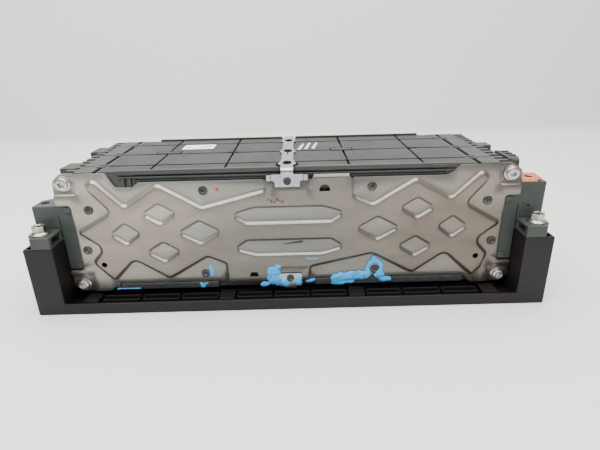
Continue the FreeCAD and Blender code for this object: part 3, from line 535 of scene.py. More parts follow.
BLOCK_HOLES = {-1: (0.2150, 0.0553), 1: (0.2103, 0.0553)}
LATCH_HEIGHTS = (0.0385, 0.0915)

housing_plastic = finish_of("grey_green_plastic", (61, 67, 63), (46, 52, 48), 14.0, 2400.0,
                            0.38, 0.56, relief=0.10, mirror=0.35)


def rounded(corners, turn=math.radians(14)):
    """Points round a closed outline whose corners carry a radius, as an array."""
    points = []
    count = len(corners)
    for i, (x, z, radius) in enumerate(corners):
        corner = Vector((x, z))
        before = (Vector(corners[i - 1][:2]) - corner).normalized()
        after = (Vector(corners[(i + 1) % count][:2]) - corner).normalized()
        half_angle = before.angle(after) / 2
        if radius == 0 or half_angle > math.radians(89):
            points.append(corner)
            continue
        centre = corner + (before + after).normalized() * (radius / math.sin(half_angle))
        start = corner + before * (radius / math.tan(half_angle)) - centre
        sweep_angle = math.pi - 2 * half_angle
        left_hand = 1 if before.cross(after) < 0 else -1
        steps = max(2, math.ceil(sweep_angle / turn))
        for k in range(steps + 1):
            points.append(centre + Matrix.Rotation(left_hand * sweep_angle * k / steps, 2) @ start)
    return np.array(points)


def new_piece(name, points, edges, faces):
    """A new piece from plain lists of points, edges and faces, selected and active."""
    mesh = bpy.data.meshes.new(name)
    mesh.from_pydata(points, edges, faces)
    piece = bpy.data.objects.new(name, mesh)
    bpy.context.scene.collection.objects.link(piece)
    only(piece)
    return piece


def prism(name, outline, low, high, axis="Z"):
    """An outline extruded between two levels along an axis. Corners may carry a radius."""
    turns = {"Z": lambda u, v, w: (u, v, w), "Y": lambda u, v, w: (u, w, v),
             "X": lambda u, v, w: (w, u, v)}[axis]
    points = rounded([(*corner, 0)[:3] for corner in outline])
    piece = new_piece(name, [turns(u, v, low) for u, v in points], [], [range(len(points))])
    bpy.ops.object.mode_set(mode="EDIT")
    bpy.ops.mesh.select_all(action="SELECT")
    bpy.ops.mesh.extrude_region_move(
        TRANSFORM_OT_translate={"value": turns(0, 0, high - low)})
    bpy.ops.mesh.select_all(action="SELECT")
    bpy.ops.mesh.normals_make_consistent(inside=False)
    bpy.ops.object.mode_set(mode="OBJECT")
    return piece


def bore(piece, radius, foot, top):
    """A round hole drilled in the piece between two points on the drill's line."""
    foot, top = Vector(foot), Vector(top)
    bpy.ops.mesh.primitive_cylinder_add(vertices=32, radius=radius, depth=(top - foot).length,
                                        location=(foot + top) / 2)
    drill = bpy.context.object
    drill.rotation_euler = (top - foot).to_track_quat("Z", "Y").to_euler()
    carve(piece, drill)


def carve(piece, tool, operation="DIFFERENCE"):
    """Takes a tool's shape out of a piece, or adds it, and throws the tool away."""
    only(piece)
    change = piece.modifiers.new("carve", "BOOLEAN")
    change.operation = operation
    change.object = tool
    change.solver = "EXACT"
    bpy.ops.object.modifier_apply(modifier="carve")
    bpy.data.objects.remove(tool)


def end_housing(side):
    """One end cover, built up from its body, comb, front and rear strips, blocks and ears."""
    s = side
    body = prism("body", [(s * CAP_INNER, MODULE_BOTTOM),
                          (s * (HOUSING_OUTER - 0.003), MODULE_BOTTOM),
                          (s * HOUSING_OUTER, MODULE_BOTTOM + 0.003),
                          (s * HOUSING_OUTER, CAP_CHAMFER_FOOT),
                          (s * (COMB_OUTER + 0.0025), COMB_BASE), (s * COMB_INNER, COMB_BASE),
                          (s * COMB_INNER, DECK_TOP), (s * CAP_INNER, DECK_TOP)],
                 -STACK_HALF_DEPTH, STACK_HALF_DEPTH, axis="Y")
    for seam in FRAME_SEAMS:
        for y in (seam - SEAM_HALF, seam + SEAM_HALF):
            cut_across(body, (0, y, 0), (0, 1, 0))
    for edge_x in CAP_LINE:
        cut_across(body, (s * edge_x, 0, 0), (1, 0, 0))
    for seam in FRAME_SEAMS:
        pull_faces(body, lambda c, n: n.z > 0.9 and c.z > DECK_TOP - 1e-4
                   and abs(c.y - seam) < SEAM_HALF and abs(c.x) > CAP_LINE[1],
                   (0, 0, -CAP_GROOVE))
    pull_faces(body, lambda c, n: n.z > 0.9 and c.z > DECK_TOP - 1e-4
               and CAP_LINE[0] < abs(c.x) < CAP_LINE[1], (0, 0, -CAP_LINE_DEPTH))
    parts = [soften(body, 0.0003)]
    for seam in FRAME_SEAMS:
        for turn in (-1, 1):
            hook = prism("hook", [(s * x, seam + turn * y) for x, y in HOOK],
                         DECK_TOP - SURE_DEPTH, DECK_TOP + 0.0006)
            parts.append(soften(hook, 0.0003))
    for k in range(13):
        low_y = max(-STACK_HALF_DEPTH, -STACK_HALF_DEPTH + (k - 0.5) * CELL_PITCH + COMB_SLOT / 2)
        high_y = min(STACK_HALF_DEPTH, -STACK_HALF_DEPTH + (k + 0.5) * CELL_PITCH - COMB_SLOT / 2)
        tooth = prism("tooth", [(s * (COMB_INNER - 0.0004), COMB_BASE - 0.004),
                                (s * (COMB_OUTER + 0.004), COMB_BASE - 0.004),
                                (s * (COMB_OUTER + 0.002), COMB_BASE),
                                (s * COMB_OUTER, DECK_TOP - 0.0002),
                                (s * (COMB_INNER - 0.0004), DECK_TOP - 0.0002)],
                      low_y, high_y, axis="Y")
        parts.append(soften(tooth, 0.0004))
    raised = ((-0.0385 - 0.010, -0.0275), (0.0165, 0.0395)) if s < 0 else ((0.0035, 0.0185),)
    for low_y, high_y in raised:
        shoulder = box_between("shoulder", (s * 0.186, low_y, 0.100), (s * 0.200, high_y, DECK_TOP))
        parts.append(soften(shoulder, 0.0008, 3))
    for y in (-1, 1):
        strip = box_between("strip", (s * 0.183, y * (STACK_HALF_DEPTH - 0.002), 0.035),
                            (s * HOUSING_OUTER, y * 0.0669, 0.103))
        parts.append(soften(strip, 0.0004))
        for latch_z in LATCH_HEIGHTS:
            latch = box_between("latch", (s * 0.1875, y * 0.0662, latch_z - 0.0026),
                                (s * 0.1935, y * 0.0684, latch_z + 0.0026))
            parts.append(soften(latch, 0.0007, 3))
        top = BLOCK_TOPS[s]
        stand = prism("stand", [(s * (HOUSING_OUTER - 0.001), y * BLOCK_NEAR),
                                (s * BLOCK_OUTER, y * BLOCK_NEAR),
                                (s * BLOCK_OUTER, y * (BLOCK_FAR + 0.006)),
                                (s * (BLOCK_OUTER - 0.008), y * BLOCK_FAR),
                                (s * (HOUSING_OUTER - 0.001), y * BLOCK_FAR)],
                      EAR_LOW, top)
        hole_x, hole_y = BLOCK_HOLES[s]
        bore(stand, 0.0035, (s * hole_x, y * hole_y, top - 0.020),
             (s * hole_x, y * hole_y, top + 0.001))
        if s > 0:
            bore(stand, 0.00085, (0.209, y * 0.060, 0.0847), (0.209, y * 0.070, 0.0847))
        carve(stand, box_between("relief", (s * 0.1980, y * 0.064, 0.066),
                                 (s * 0.2003, y * 0.070, 0.086)))
        parts.append(soften(stand, 0.0007, 3))
        ear = prism("ear", [(s * 0.199, y * 0.044), (s * 0.199, y * 0.062), (s * 0.2004, y * 0.066),
                            (s * 0.2004, y * 0.0885), (s * 0.217, y * 0.0885),
                            (s * EAR_OUTER, y * 0.0795), (s * EAR_OUTER, y * 0.044)],
                    EAR_LOW, EAR_HIGH)
        carve(ear, box_between("pocket", (s * 0.1998, y * 0.070, EAR_LOW + 0.002),
                               (s * 0.207, y * 0.084, EAR_LOW + 0.008)))
        parts.append(soften(ear, 0.0006, 3))
    return join_pieces(("right" if s > 0 else "left") + "_end_cover", parts)


for side, node in ((-1, "left_end_housing"), (1, "right_end_housing")):
    place_piece(end_housing(side), housing_plastic, "housing_plastic", node)
# Each cover's groove holds a black strip, level with the deck, that paints in the shade of the gap.
cap_gap_shades = [box_between("cap_gap_shade", (min(side * x for x in CAP_LINE), -STACK_HALF_DEPTH + 0.0006,
                                    DECK_TOP - 0.0010),
                        (max(side * x for x in CAP_LINE), STACK_HALF_DEPTH - 0.0006,
                         DECK_TOP + 0.0002)) for side in (-1, 1)]
place_piece(soften(join_pieces("cap_gap_shades", cap_gap_shades), 0.0001, 1), gap_shade_black, "housing_plastic")


# ---- Busbars and terminals ------------------------------------------------------------------
# Copper bridges join the tabs in series inside the end covers. The two end cells' bars come out
# over the right cover's blocks, each with a punched hole over a nut held captive in the block.

TERMINAL_LOW = 0.1063
TERMINAL_HIGH = 0.1083
TERMINAL_HOLE = (0.2103, 0.0553, 0.00325)

bare_copper = finish_of("bare_copper", (222, 146, 102), (200, 122, 82), 45.0, 2200.0,
                        0.30, 0.44, metallic=1.0, relief=0.06)
for node in ("left_busbars", "right_busbars"):
    dress(node, bare_copper)


def terminal(name, y, node):
    """A punched copper bar with its edges broken, on a riser that comes up from its tab."""
    plan = [(0.174, y * 0.0638), (0.1997, y * 0.0638), (0.2004, y * 0.0662),
            (0.2135, y * 0.0662, 0.001), (0.2188, y * 0.0625, 0.001),
            (0.2212, y * 0.0445, 0.001), (0.2125, y * 0.0434, 0.001), (0.174, y * 0.046)]
    bar = prism("bar", plan, TERMINAL_LOW, TERMINAL_HIGH)
    hole_x, hole_y, radius = TERMINAL_HOLE
    bore(bar, radius, (hole_x, y * hole_y, 0.100), (hole_x, y * hole_y, 0.112))
    soften(bar, 0.0003, 3)
    low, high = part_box(node)
    tab_y = high.y if y > 0 else low.y
    riser = box_between("riser", (0.170, tab_y, low.z), (0.1740, tab_y - y * 0.009, TERMINAL_HIGH))
    return join_pieces(name, [bar, soften(riser, 0.0003)])


for name, y, node in (("positive_bar", -1, "positive_terminal"),
                      ("negative_bar", 1, "negative_terminal")):
    place_piece(terminal(name, y, node), bare_copper, "copper", node)

zinc_plate = finish_of("zinc_plate", (206, 204, 201), (176, 176, 176), 120.0, 2400.0,
                       0.22, 0.38, metallic=1.0, relief=0.08)
dress("terminal_nuts", zinc_plate)


# ---- Voltage sensing ------------------------------------------------------------------------
# A board beside the frames at each end reads the tabs. A ribbon under the deck joins the two,
# two sensors lie on the cells, and all of it comes out at a plug on the right end cover.

board_green = finish_of("board_green", (30, 96, 62), (20, 76, 50), 80.0, 2600.0, 0.28, 0.42)
ribbon_film = finish_of("ribbon_film", (196, 126, 54), (174, 104, 42), 60.0, 2600.0,
                        0.24, 0.38, stretched=(1, 9, 1))
sensor_black = finish_of("sensor_black", (38, 39, 41), (26, 27, 29), 90.0, 2600.0, 0.4, 0.55)
for node in ("sense_board_left", "sense_board_right"):
    dress(node, board_green)
dress("sense_ribbon", ribbon_film)
dress("temperature_sensors", sensor_black)

PLUG_INNER = 0.1942
PLUG_FRONT = -0.0482
PLUG_BACK = -0.0170
PLUG_BOTTOM = 0.1100

flange = prism("flange", [(PLUG_FRONT, PLUG_BOTTOM), (PLUG_BACK, PLUG_BOTTOM),
                          (PLUG_BACK, DECK_TOP, 0.003), (PLUG_FRONT, DECK_TOP, 0.003)],
               PLUG_INNER, PLUG_INNER + 0.0035, axis="X")
nose = prism("nose", [(PLUG_FRONT + 0.001, PLUG_BOTTOM + 0.0005, 0.002),
                      (PLUG_BACK - 0.001, PLUG_BOTTOM + 0.0005, 0.002),
                      (PLUG_BACK - 0.001, DECK_TOP - 0.0006, 0.005),
                      (PLUG_FRONT + 0.001, DECK_TOP - 0.0006, 0.005)],
             PLUG_INNER + 0.001, PLUG_INNER + 0.011, axis="X")
pull_faces(nose, lambda c, n: n.x > 0.9, (-0.007, 0, 0), inset=0.0016)
plug_parts = [soften(flange, 0.0005), soften(nose, 0.0005, 3)]
for k in range(3):
    key_y = PLUG_FRONT + 0.008 + 0.0076 * k
    key = box_between("key", (PLUG_INNER + 0.002, key_y, DECK_TOP - 0.0012),
                      (PLUG_INNER + 0.0102, key_y + 0.0022, DECK_TOP + 0.0004))
    plug_parts.append(soften(key, 0.0003))
tail = box_between("tail", (0.1635, -0.0298, 0.1191), (PLUG_INNER + 0.001, -0.0182, 0.1211))
drop = box_between("drop", (0.1636, -0.0297, 0.1130), (0.1682, -0.0183, 0.1209))
plug_parts += [soften(tail, 0.0003), soften(drop, 0.0003)]
plug = join_pieces("sensing_plug", plug_parts)
place_piece(plug, housing_plastic, "housing_plastic", "signal_connector")

pins = []
for row in range(2):
    for k in range(8):
        pin_y = PLUG_FRONT + 0.0062 + 0.00268 * k
        pin_z = PLUG_BOTTOM + 0.0045 + 0.0042 * row
        pin = box_between("pin", (PLUG_INNER + 0.003, pin_y - 0.0003, pin_z - 0.0003),
                          (PLUG_INNER + 0.0088, pin_y + 0.0003, pin_z + 0.0003))
        pins.append(soften(pin, 0.00012, 1))
place_piece(join_pieces("plug_pins", pins), turned_brass, "copper")


# ---- Barrier sheets -------------------------------------------------------------------------
# Moulded insulating sheets between the end plates and the stack. Their top edge stands above
# the plate as a channel with a proud lip; the foot shows below it, ribbed on one side.

SHEET_OUTER = 0.0670
SHEET_INNER = 0.0656
LIP_TOP = 0.1255
LIP_HALF_LENGTH = 0.142

barrier_plastic = finish_of("barrier_plastic", (52, 55, 53), (40, 43, 42), 24.0, 2400.0,
                            0.30, 0.44, relief=0.08)


def barrier(name):
    """The front sheet, with its channel, lip and ribbed foot."""
    def bar(x0, x1, outer, z0, z1, round_by=0.0003):
        piece = box_between("bar", (x0, -outer, z0), (x1, -SHEET_INNER, z1))
        return soften(piece, round_by)

    parts = [bar(-0.176, 0.176, SHEET_OUTER - 0.0009, MODULE_BOTTOM + 0.0004, 0.1232),
             bar(-0.1535, -0.1285, SHEET_OUTER, 0.1085, 0.1216),
             bar(0.1345, 0.1535, SHEET_OUTER, 0.1085, 0.1216)]
    for start, end in ((-LIP_HALF_LENGTH, -0.007), (0.007, LIP_HALF_LENGTH)):
        parts.append(bar(start, end, 0.0686, 0.1216, LIP_TOP, 0.0006))
        parts.append(bar(start, end, 0.0690, 0.1190, 0.1201))
        parts.append(bar(start, end, 0.0676, 0.1162, 0.1170))
    for x in (-0.139, -0.1335):
        parts.append(bar(x, x + 0.0022, 0.0694, 0.1118, 0.1186, 0.0005))
    parts.append(bar(0.122, 0.134, 0.0693, 0.1216, 0.1243, 0.0005))
    parts.append(bar(-0.1555, -0.066, 0.0692, 0.0136, 0.0196, 0.0005))
    parts.append(bar(-0.1600, -0.1560, 0.0692, 0.0140, 0.0205, 0.0005))
    parts.append(bar(-0.1225, -0.1165, 0.0698, 0.0172, 0.0192, 0.0005))
    parts.append(bar(0.0220, 0.1575, 0.0686, 0.0136, 0.0196, 0.0005))
    for k in range(6):
        rib_x = 0.096 + 0.0108 * k
        parts.append(bar(rib_x, rib_x + 0.0016, 0.0696, 0.0138, 0.0194, 0.0003))
    return join_pieces(name, parts)


def own_copy(piece):
    """A copy of a piece with its own mesh."""
    copy = piece.copy()
    copy.data = piece.data.copy()
    bpy.context.scene.collection.objects.link(copy)
    return copy


def turned_copy(piece, name):
    """A copy of a front piece, turned half round to the rear, with its own mesh."""
    copy = own_copy(piece)
    copy.name = copy.data.name = name
    copy.data.transform(Matrix.Rotation(math.pi, 4, "Z"))
    return copy


front_barrier = barrier("front_barrier_sheet")
rear_barrier = turned_copy(front_barrier, "rear_barrier_sheet")
place_piece(front_barrier, barrier_plastic, "frame_plastic", "front_insulator")
place_piece(rear_barrier, barrier_plastic, "frame_plastic", "rear_insulator")


# ---- End plates -----------------------------------------------------------------------------
# Pressed steel sheet, 1.5 mm thick, the same part at the front and, turned round, at the rear.
# A truss with diamond windows is pressed out of it, and its corners are sunk for the tie bolts.

SHEET = 0.0015
PLATE_FACE = 0.0685
TRUSS_RISE = 0.0025
TRUSS_SLOPE = 0.0040
WINDOW_SLOPE = 0.0037
PAD_SINK = 0.0015
PAD_SLOPE = 0.0018
STACK_MIDDLE = 0.0682
EDGE_ROLL = 0.0003

# Corners of the plate's edge: (x, z, corner radius).
PLATE_EDGE = (
    (-0.1995, 0.1165, 0.006), (-0.1915, 0.1237, 0.006), (-0.1525, 0.1237, 0.003),
    (-0.1460, 0.1110, 0.004), (-0.1315, 0.1110, 0.003), (-0.1260, 0.1150, 0.003),
    (0.0205, 0.1150, 0), (0.0215, 0.1167, 0), (0.0530, 0.1167, 0), (0.0540, 0.1150, 0),
    (0.1360, 0.1150, 0.005), (0.1465, 0.1237, 0.005), (0.1915, 0.1237, 0.006),
    (0.1995, 0.1165, 0.006), (0.1995, 0.0955, 0.0025), (0.1870, 0.0955, 0.003),
    (0.1870, 0.0340, 0.003), (0.1995, 0.0340, 0.002), (0.1995, 0.0170, 0.005),
    (0.1920, 0.0120, 0.005), (0.1655, 0.0120, 0.004), (0.1575, 0.0200, 0.003),
    (-0.1575, 0.0200, 0.003), (-0.1655, 0.0120, 0.004), (-0.1920, 0.0120, 0.005),
    (-0.1995, 0.0170, 0.005), (-0.1995, 0.0340, 0.002), (-0.1870, 0.0340, 0.003),
    (-0.1870, 0.0955, 0.003), (-0.1995, 0.0955, 0.0025),
)

# Corners of the foot of the pressed truss. It runs off the plate at the top and the bottom.
TRUSS_EDGE = (
    (-0.0210, 0.1230, 0), (0.0570, 0.1230, 0), (0.0575, 0.0995, 0.004), (0.0730, 0.0930, 0.003),
    (0.1085, 0.1150, 0.006), (0.1395, 0.0970, 0.003), (0.1645, 0.1210, 0.006),
    (0.1735, 0.1120, 0.005), (0.1555, 0.0900, 0.003), (0.1875, 0.0715, 0.004),
    (0.1665, 0.0550, 0.005), (0.1785, 0.0420, 0.006), (0.1735, 0.0270, 0.005),
    (0.1650, 0.0180, 0.004), (0.1385, 0.0425, 0.005), (0.1105, 0.0225, 0.006),
    (0.0735, 0.0430, 0.005), (0.0200, 0.0315, 0.002), (0.0200, 0.0120, 0),
    (-0.0590, 0.0120, 0), (-0.0590, 0.0370, 0.002), (-0.0735, 0.0435, 0.004),
    (-0.1095, 0.0225, 0.006), (-0.1390, 0.0420, 0.005), (-0.1600, 0.0210, 0.005),
    (-0.1785, 0.0420, 0.006), (-0.1665, 0.0550, 0.005), (-0.1875, 0.0715, 0.004),
    (-0.1550, 0.0895, 0.003), (-0.1740, 0.1125, 0.005), (-0.1635, 0.1210, 0.006),
    (-0.1400, 0.0960, 0.003), (-0.1100, 0.1150, 0.006), (-0.0740, 0.0935, 0.003),
    (-0.0210, 0.1070, 0.002),
)

# Windows pressed back: diamonds as (centre x, centre z, half length, half height), and the
# corners of one long lens, from the middle of the plate outwards: (x, rise, corner radius).
DIAMONDS = ((0.078, 0.069, 0.0195, 0.0110), (0.1115, 0.087, 0.0155, 0.0095),
            (0.143, 0.069, 0.0133, 0.0102), (0.1115, 0.051, 0.0155, 0.0097))
LENS_HALF = ((0.050, 0.0163, 0.003), (0.037, 0.008, 0.003), (-0.037, 0.008, 0.003),
             (-0.050, 0.0163, 0.003), (-0.030, 0.0225, 0.020), (0.030, 0.0225, 0.020))
SERVICE_HOLE = (0.1665, 0.040, 0.0025)
HALF_ROUND_SLOT = ((0.027, 0.104, 0), (0.036, 0.104, 0), (0.036, 0.110, 0.0044),
                   (0.027, 0.110, 0.0044))
FOOT_SLOT = ((-0.037, 0.0245, 0), (-0.0285, 0.0245, 0), (-0.030, 0.029, 0), (-0.0355, 0.029, 0))


def depth_inside(spots, outline):
    """How far each spot lies inside a closed outline, in metres; negative outside."""
    start = outline
    run = np.roll(outline, -1, axis=0) - start
    offset = spots[:, None, :] - start[None]
    share = np.clip((offset * run).sum(2) / (run * run).sum(1), 0, 1)
    distance = np.sqrt(((offset - share[:, :, None] * run) ** 2).sum(2)).min(1)
    start_z, end_z = start[:, 1], np.roll(start[:, 1], -1)
    spans = (start_z > spots[:, 1:]) != (end_z > spots[:, 1:])
    slope = (spots[:, 1:] - start_z) / np.where(end_z == start_z, 1, end_z - start_z)
    crossings = spans & (spots[:, :1] < start[:, 0] + slope * run[:, 0])
    return np.where(crossings.sum(1) % 2 == 1, distance, -distance)


def shifted(outline, distance):
    """The outline moved inwards along its own normals by a distance."""
    ahead = np.roll(outline, -1, axis=0) - outline
    behind = outline - np.roll(outline, 1, axis=0)
    ahead /= np.linalg.norm(ahead, axis=1)[:, None]
    behind /= np.linalg.norm(behind, axis=1)[:, None]
    normal = np.stack([-(ahead + behind)[:, 1], (ahead + behind)[:, 0]], axis=1)
    normal /= np.linalg.norm(normal, axis=1)[:, None]
    x, z = outline[:, 0], outline[:, 1]
    area = (x * np.roll(z, -1) - np.roll(x, -1) * z).sum()
    sideways = np.stack([-ahead[:, 1], ahead[:, 0]], axis=1)
    reach = distance / np.maximum(0.5, (normal * sideways).sum(1))
    return outline + normal * (reach * np.sign(area))[:, None]


def ease(share):
    """Zero below 0, one above 1, and a smooth S between."""
    share = np.clip(share, 0, 1)
    return share * share * (3 - 2 * share)


def window_outlines():
    """The eight diamonds and the two lenses, as rounded outlines."""
    outlines = []
    for x, z, half_length, half_height in DIAMONDS:
        for side in (-1, 1):
            outlines.append(rounded(((side * x - half_length, z, 0.003),
                                     (side * x, z - half_height, 0.004),
                                     (side * x + half_length, z, 0.003),
                                     (side * x, z + half_height, 0.004))))
    for side in (-1, 1):
        outlines.append(rounded([(x, STACK_MIDDLE + side * rise, radius)
                                 for x, rise, radius in LENS_HALF]))
    return outlines


def pressed_plate(name):
    """The front plate: a sheet whose relief is worked out from its outlines."""
    edge = rounded(PLATE_EDGE)
    truss = rounded(TRUSS_EDGE)
    windows = window_outlines()
    turns = np.linspace(0, 2 * math.pi, 20, endpoint=False)
    holes = [rounded(HALF_ROUND_SLOT), rounded(FOOT_SLOT)]
    for side in (-1, 1):
        holes.append(np.stack([side * SERVICE_HOLE[0] + SERVICE_HOLE[2] * np.cos(turns),
                               SERVICE_HOLE[1] + SERVICE_HOLE[2] * np.sin(turns)], axis=1))
    pads = []
    for side in (-1, 1):
        pads.append(rounded(((side * 0.180, 0.130, 0), (side * 0.180, 0.1045, 0.002),
                             (side * 0.206, 0.1045, 0), (side * 0.206, 0.130, 0))))
        pads.append(rounded(((side * 0.180, 0.005, 0), (side * 0.180, 0.030, 0.002),
                             (side * 0.206, 0.030, 0), (side * 0.206, 0.005, 0))))
    seats = [rounded(((-0.014, 0.130, 0), (0.019, 0.130, 0), (0.019, 0.1058, 0.001),
                      (-0.014, 0.1058, 0.001))),
             rounded(((-0.016, 0.005, 0), (0.017, 0.005, 0), (0.017, 0.0335, 0.001),
                      (-0.016, 0.0335, 0.001)))]
    loops = [(edge, True), (shifted(edge, 0.0005), True)]
    for share in (0.0, 0.17, 0.33, 0.5, 0.67, 0.83, 1.0):
        loops.append((shifted(truss, TRUSS_SLOPE * share), False))
        for window in windows:
            loops.append((shifted(window, WINDOW_SLOPE * (share - 0.5)), False))
    for share in (0.0, 0.5, 1.0):
        for pad in pads:
            loops.append((shifted(pad, PAD_SLOPE * share), False))
        for seat in seats:
            loops.append((shifted(seat, 0.001 * share), False))
    loops += [(hole, True) for hole in holes]
    spots, links = [], []
    for loop, _ in loops:
        first = len(spots)
        spots += [Vector((float(x), float(z))) for x, z in loop]
        links += [(first + k, first + (k + 1) % len(loop)) for k in range(len(loop))]
    for x in np.arange(-0.195, 0.196, 0.010):
        for z in np.arange(0.015, 0.122, 0.010):
            spots.append(Vector((float(x), float(z))))
    flat, _, triangles, *_ = geometry.delaunay_2d_cdt(spots, links, [], 0, 1e-6)
    flat = np.array([tuple(v) for v in flat])
    centres = np.array([flat[list(t)].mean(0) for t in triangles])
    kept = depth_inside(centres, edge) > 0
    for hole in holes:
        kept &= depth_inside(centres, hole) < 0
    lift = TRUSS_RISE * ease(depth_inside(flat, truss) / TRUSS_SLOPE)
    for window in windows:
        lift -= TRUSS_RISE * ease(depth_inside(flat, window) / WINDOW_SLOPE + 0.5)
    for pad in pads:
        lift -= PAD_SINK * ease(depth_inside(flat, pad) / PAD_SLOPE)
    for seat in seats:
        lift -= 0.0005 * ease(depth_inside(flat, seat) / 0.001)
    lift -= EDGE_ROLL * (1 - ease(depth_inside(flat, edge) / 0.0005))
    plate = new_piece(name, [(x, -PLATE_FACE - rise, z) for (x, z), rise in zip(flat, lift)], [],
                      [t for t, keep in zip(triangles, kept) if keep])
    bpy.ops.object.mode_set(mode="EDIT")
    bpy.ops.mesh.select_all(action="SELECT")
    bpy.ops.mesh.delete_loose()
    bpy.ops.mesh.select_all(action="SELECT")
    bpy.ops.mesh.normals_make_consistent(inside=False)
    bpy.ops.object.mode_set(mode="OBJECT")
    if sum(polygon.normal.y for polygon in plate.data.polygons) > 0:
        plate.data.flip_normals()
    gauge = plate.modifiers.new("gauge", "SOLIDIFY")
    gauge.thickness = SHEET
    gauge.offset = -1
    bpy.ops.object.modifier_apply(modifier="gauge")
    bpy.ops.object.shade_smooth_by_angle(angle=math.radians(40))
    return plate


# Heat tint along the plate with a painted reflection that brightens its left end, a browner
# bloom on the proud truss, and the plate made darker towards its foot.
plate_steel = finish_of("pressed_steel", (203, 199, 192), (163, 160, 154), 9.0, 1500.0,
                        0.30, 0.43, metallic=0.85, relief=0.12, stretched=(0.7, 1, 2.5))
steel_tree = plate_steel.node_tree
steel_place = steel_tree.nodes.new("ShaderNodeTexCoord")
steel_axes = steel_tree.nodes.new("ShaderNodeSeparateXYZ")
steel_tree.links.new(steel_place.outputs["Object"], steel_axes.inputs["Vector"])
along = remap(steel_tree, steel_axes.outputs["X"], -0.2, 0.2)
# The ramp is partly the sheet's own tint, warm at the ends and greener in the middle, and partly
# painted reflection: brighter at the left end, where a lamp would be mirrored.
tint_and_painted_reflection = steel_tree.nodes.new("ShaderNodeValToRGB")
tint_and_painted_reflection.color_ramp.elements[0].color = (*chart(236, 230, 225), 1)
tint_and_painted_reflection.color_ramp.elements[1].color = (*chart(190, 181, 174), 1)
tint_and_painted_reflection.color_ramp.elements.new(0.48).color = (*chart(190, 193, 191), 1)
steel_tree.links.new(along.outputs["Result"], tint_and_painted_reflection.inputs["Fac"])
from_middle = steel_tree.nodes.new("ShaderNodeMath")
from_middle.operation = "ABSOLUTE"
steel_tree.links.new(steel_axes.outputs["Y"], from_middle.inputs[0])
on_truss = remap(steel_tree, from_middle.outputs["Value"], PLATE_FACE + 0.0008,
                 PLATE_FACE + TRUSS_RISE)
handled = blend(steel_tree, (251, 254, 254), (232, 227, 223), on_truss.outputs["Result"])
tone_and_painted_reflection = blend(steel_tree, tint_and_painted_reflection.outputs["Color"], handled.outputs["Result"])
# The plate's colour is scaled down towards its foot, so it is darker towards the bottom.
darker_towards_foot = remap(steel_tree, steel_axes.outputs["Z"], 0.015, 0.120, 0.72, 1.04)
darkened_towards_foot = steel_tree.nodes.new("ShaderNodeVectorMath")
darkened_towards_foot.operation = "SCALE"
steel_tree.links.new(tone_and_painted_reflection.outputs["Result"], darkened_towards_foot.inputs[0])
steel_tree.links.new(darker_towards_foot.outputs["Result"], darkened_towards_foot.inputs["Scale"])
tinted = blend(steel_tree, steel_tree.nodes["wandering_shade"].outputs["Color"],
               darkened_towards_foot.outputs["Vector"])
steel_tree.links.new(tinted.outputs["Result"],
                     steel_tree.nodes["Principled BSDF"].inputs["Base Color"])

hem_face = -PLATE_FACE - TRUSS_RISE
hem = soften(prism("hem", [(hem_face - 0.0001, 0.1164), (hem_face + 0.0030, 0.1164),
                           (hem_face + 0.0030, 0.1188), (hem_face + 0.0013, 0.1188)],
                   0.0222, 0.0524, axis="X"), 0.0003, 2)
front_plate = join_pieces("front_pressed_plate", [pressed_plate("front_sheet"), hem])
rear_plate = turned_copy(front_plate, "rear_pressed_plate")
place_piece(front_plate, plate_steel, "plate_steel", "front_end_plate")
place_piece(rear_plate, plate_steel, "plate_steel", "rear_end_plate")


# ---- Plate rivets ---------------------------------------------------------------------------
# Eight blackened blind rivets in each plate, with a low domed head and the broken-off mandrel
# sunk in the middle. They clench the plate to its barrier sheet.

RIVETS = ((0.172, 0.0914), (0.1798, 0.0538), (0.072, 0.1065), (0.077, 0.028))


def turned_part(name, profile, steps=40):
    """A part turned about the upright axis from its half section, given as (radius, height)."""
    part = new_piece(name, [(radius, 0, height) for radius, height in profile],
                     [(k, k + 1) for k in range(len(profile) - 1)], [])
    bpy.ops.object.mode_set(mode="EDIT")
    bpy.ops.mesh.select_all(action="SELECT")
    bpy.ops.mesh.spin(steps=steps, angle=2 * math.pi, center=(0, 0, 0), axis=(0, 0, 1))
    bpy.ops.mesh.select_all(action="SELECT")
    bpy.ops.mesh.remove_doubles(threshold=1e-6)
    bpy.ops.mesh.normals_make_consistent(inside=False)
    bpy.ops.object.mode_set(mode="OBJECT")
    bpy.ops.object.shade_smooth_by_angle(angle=math.radians(32))
    return part


def set_in(piece, place, along, twist=0.0):
    """Turns a piece made upright at the origin so that its top points along, and puts it in."""
    turn = Vector(along).to_track_quat("Z", "Y").to_matrix().to_4x4()
    piece.data.transform(Matrix.Translation(place) @ turn @ Matrix.Rotation(twist, 4, "Z"))
    return piece


rivet_black = finish_of("rivet_black", (84, 84, 80), (56, 56, 54), 160.0, 2600.0,
                        0.30, 0.48, metallic=0.7, relief=0.12)
rivet = turned_part("rivet", (
    (0, -0.0032), (0.0020, -0.0031), (0.0020, -0.0002), (0.0039, -0.0002), (0.0041, 0.0003),
    (0.0037, 0.0010), (0.0028, 0.0014), (0.0019, 0.0014), (0.0015, 0.0011), (0.0010, 0.0004),
    (0.0007, 0.0006), (0, 0.0007)))
rivets = []
for side in (-1, 1):
    for x, z in RIVETS:
        rivets.append(set_in(own_copy(rivet), (side * x, -PLATE_FACE, z), (0, -1, 0), x * 50))
bpy.data.objects.remove(rivet)
front_rivets = join_pieces("front_rivet_set", rivets)
rear_rivets = turned_copy(front_rivets, "rear_rivet_set")
place_piece(front_rivets, rivet_black, "dark_rivet", "front_plate_rivets")
place_piece(rear_rivets, rivet_black, "dark_rivet", "rear_plate_rivets")


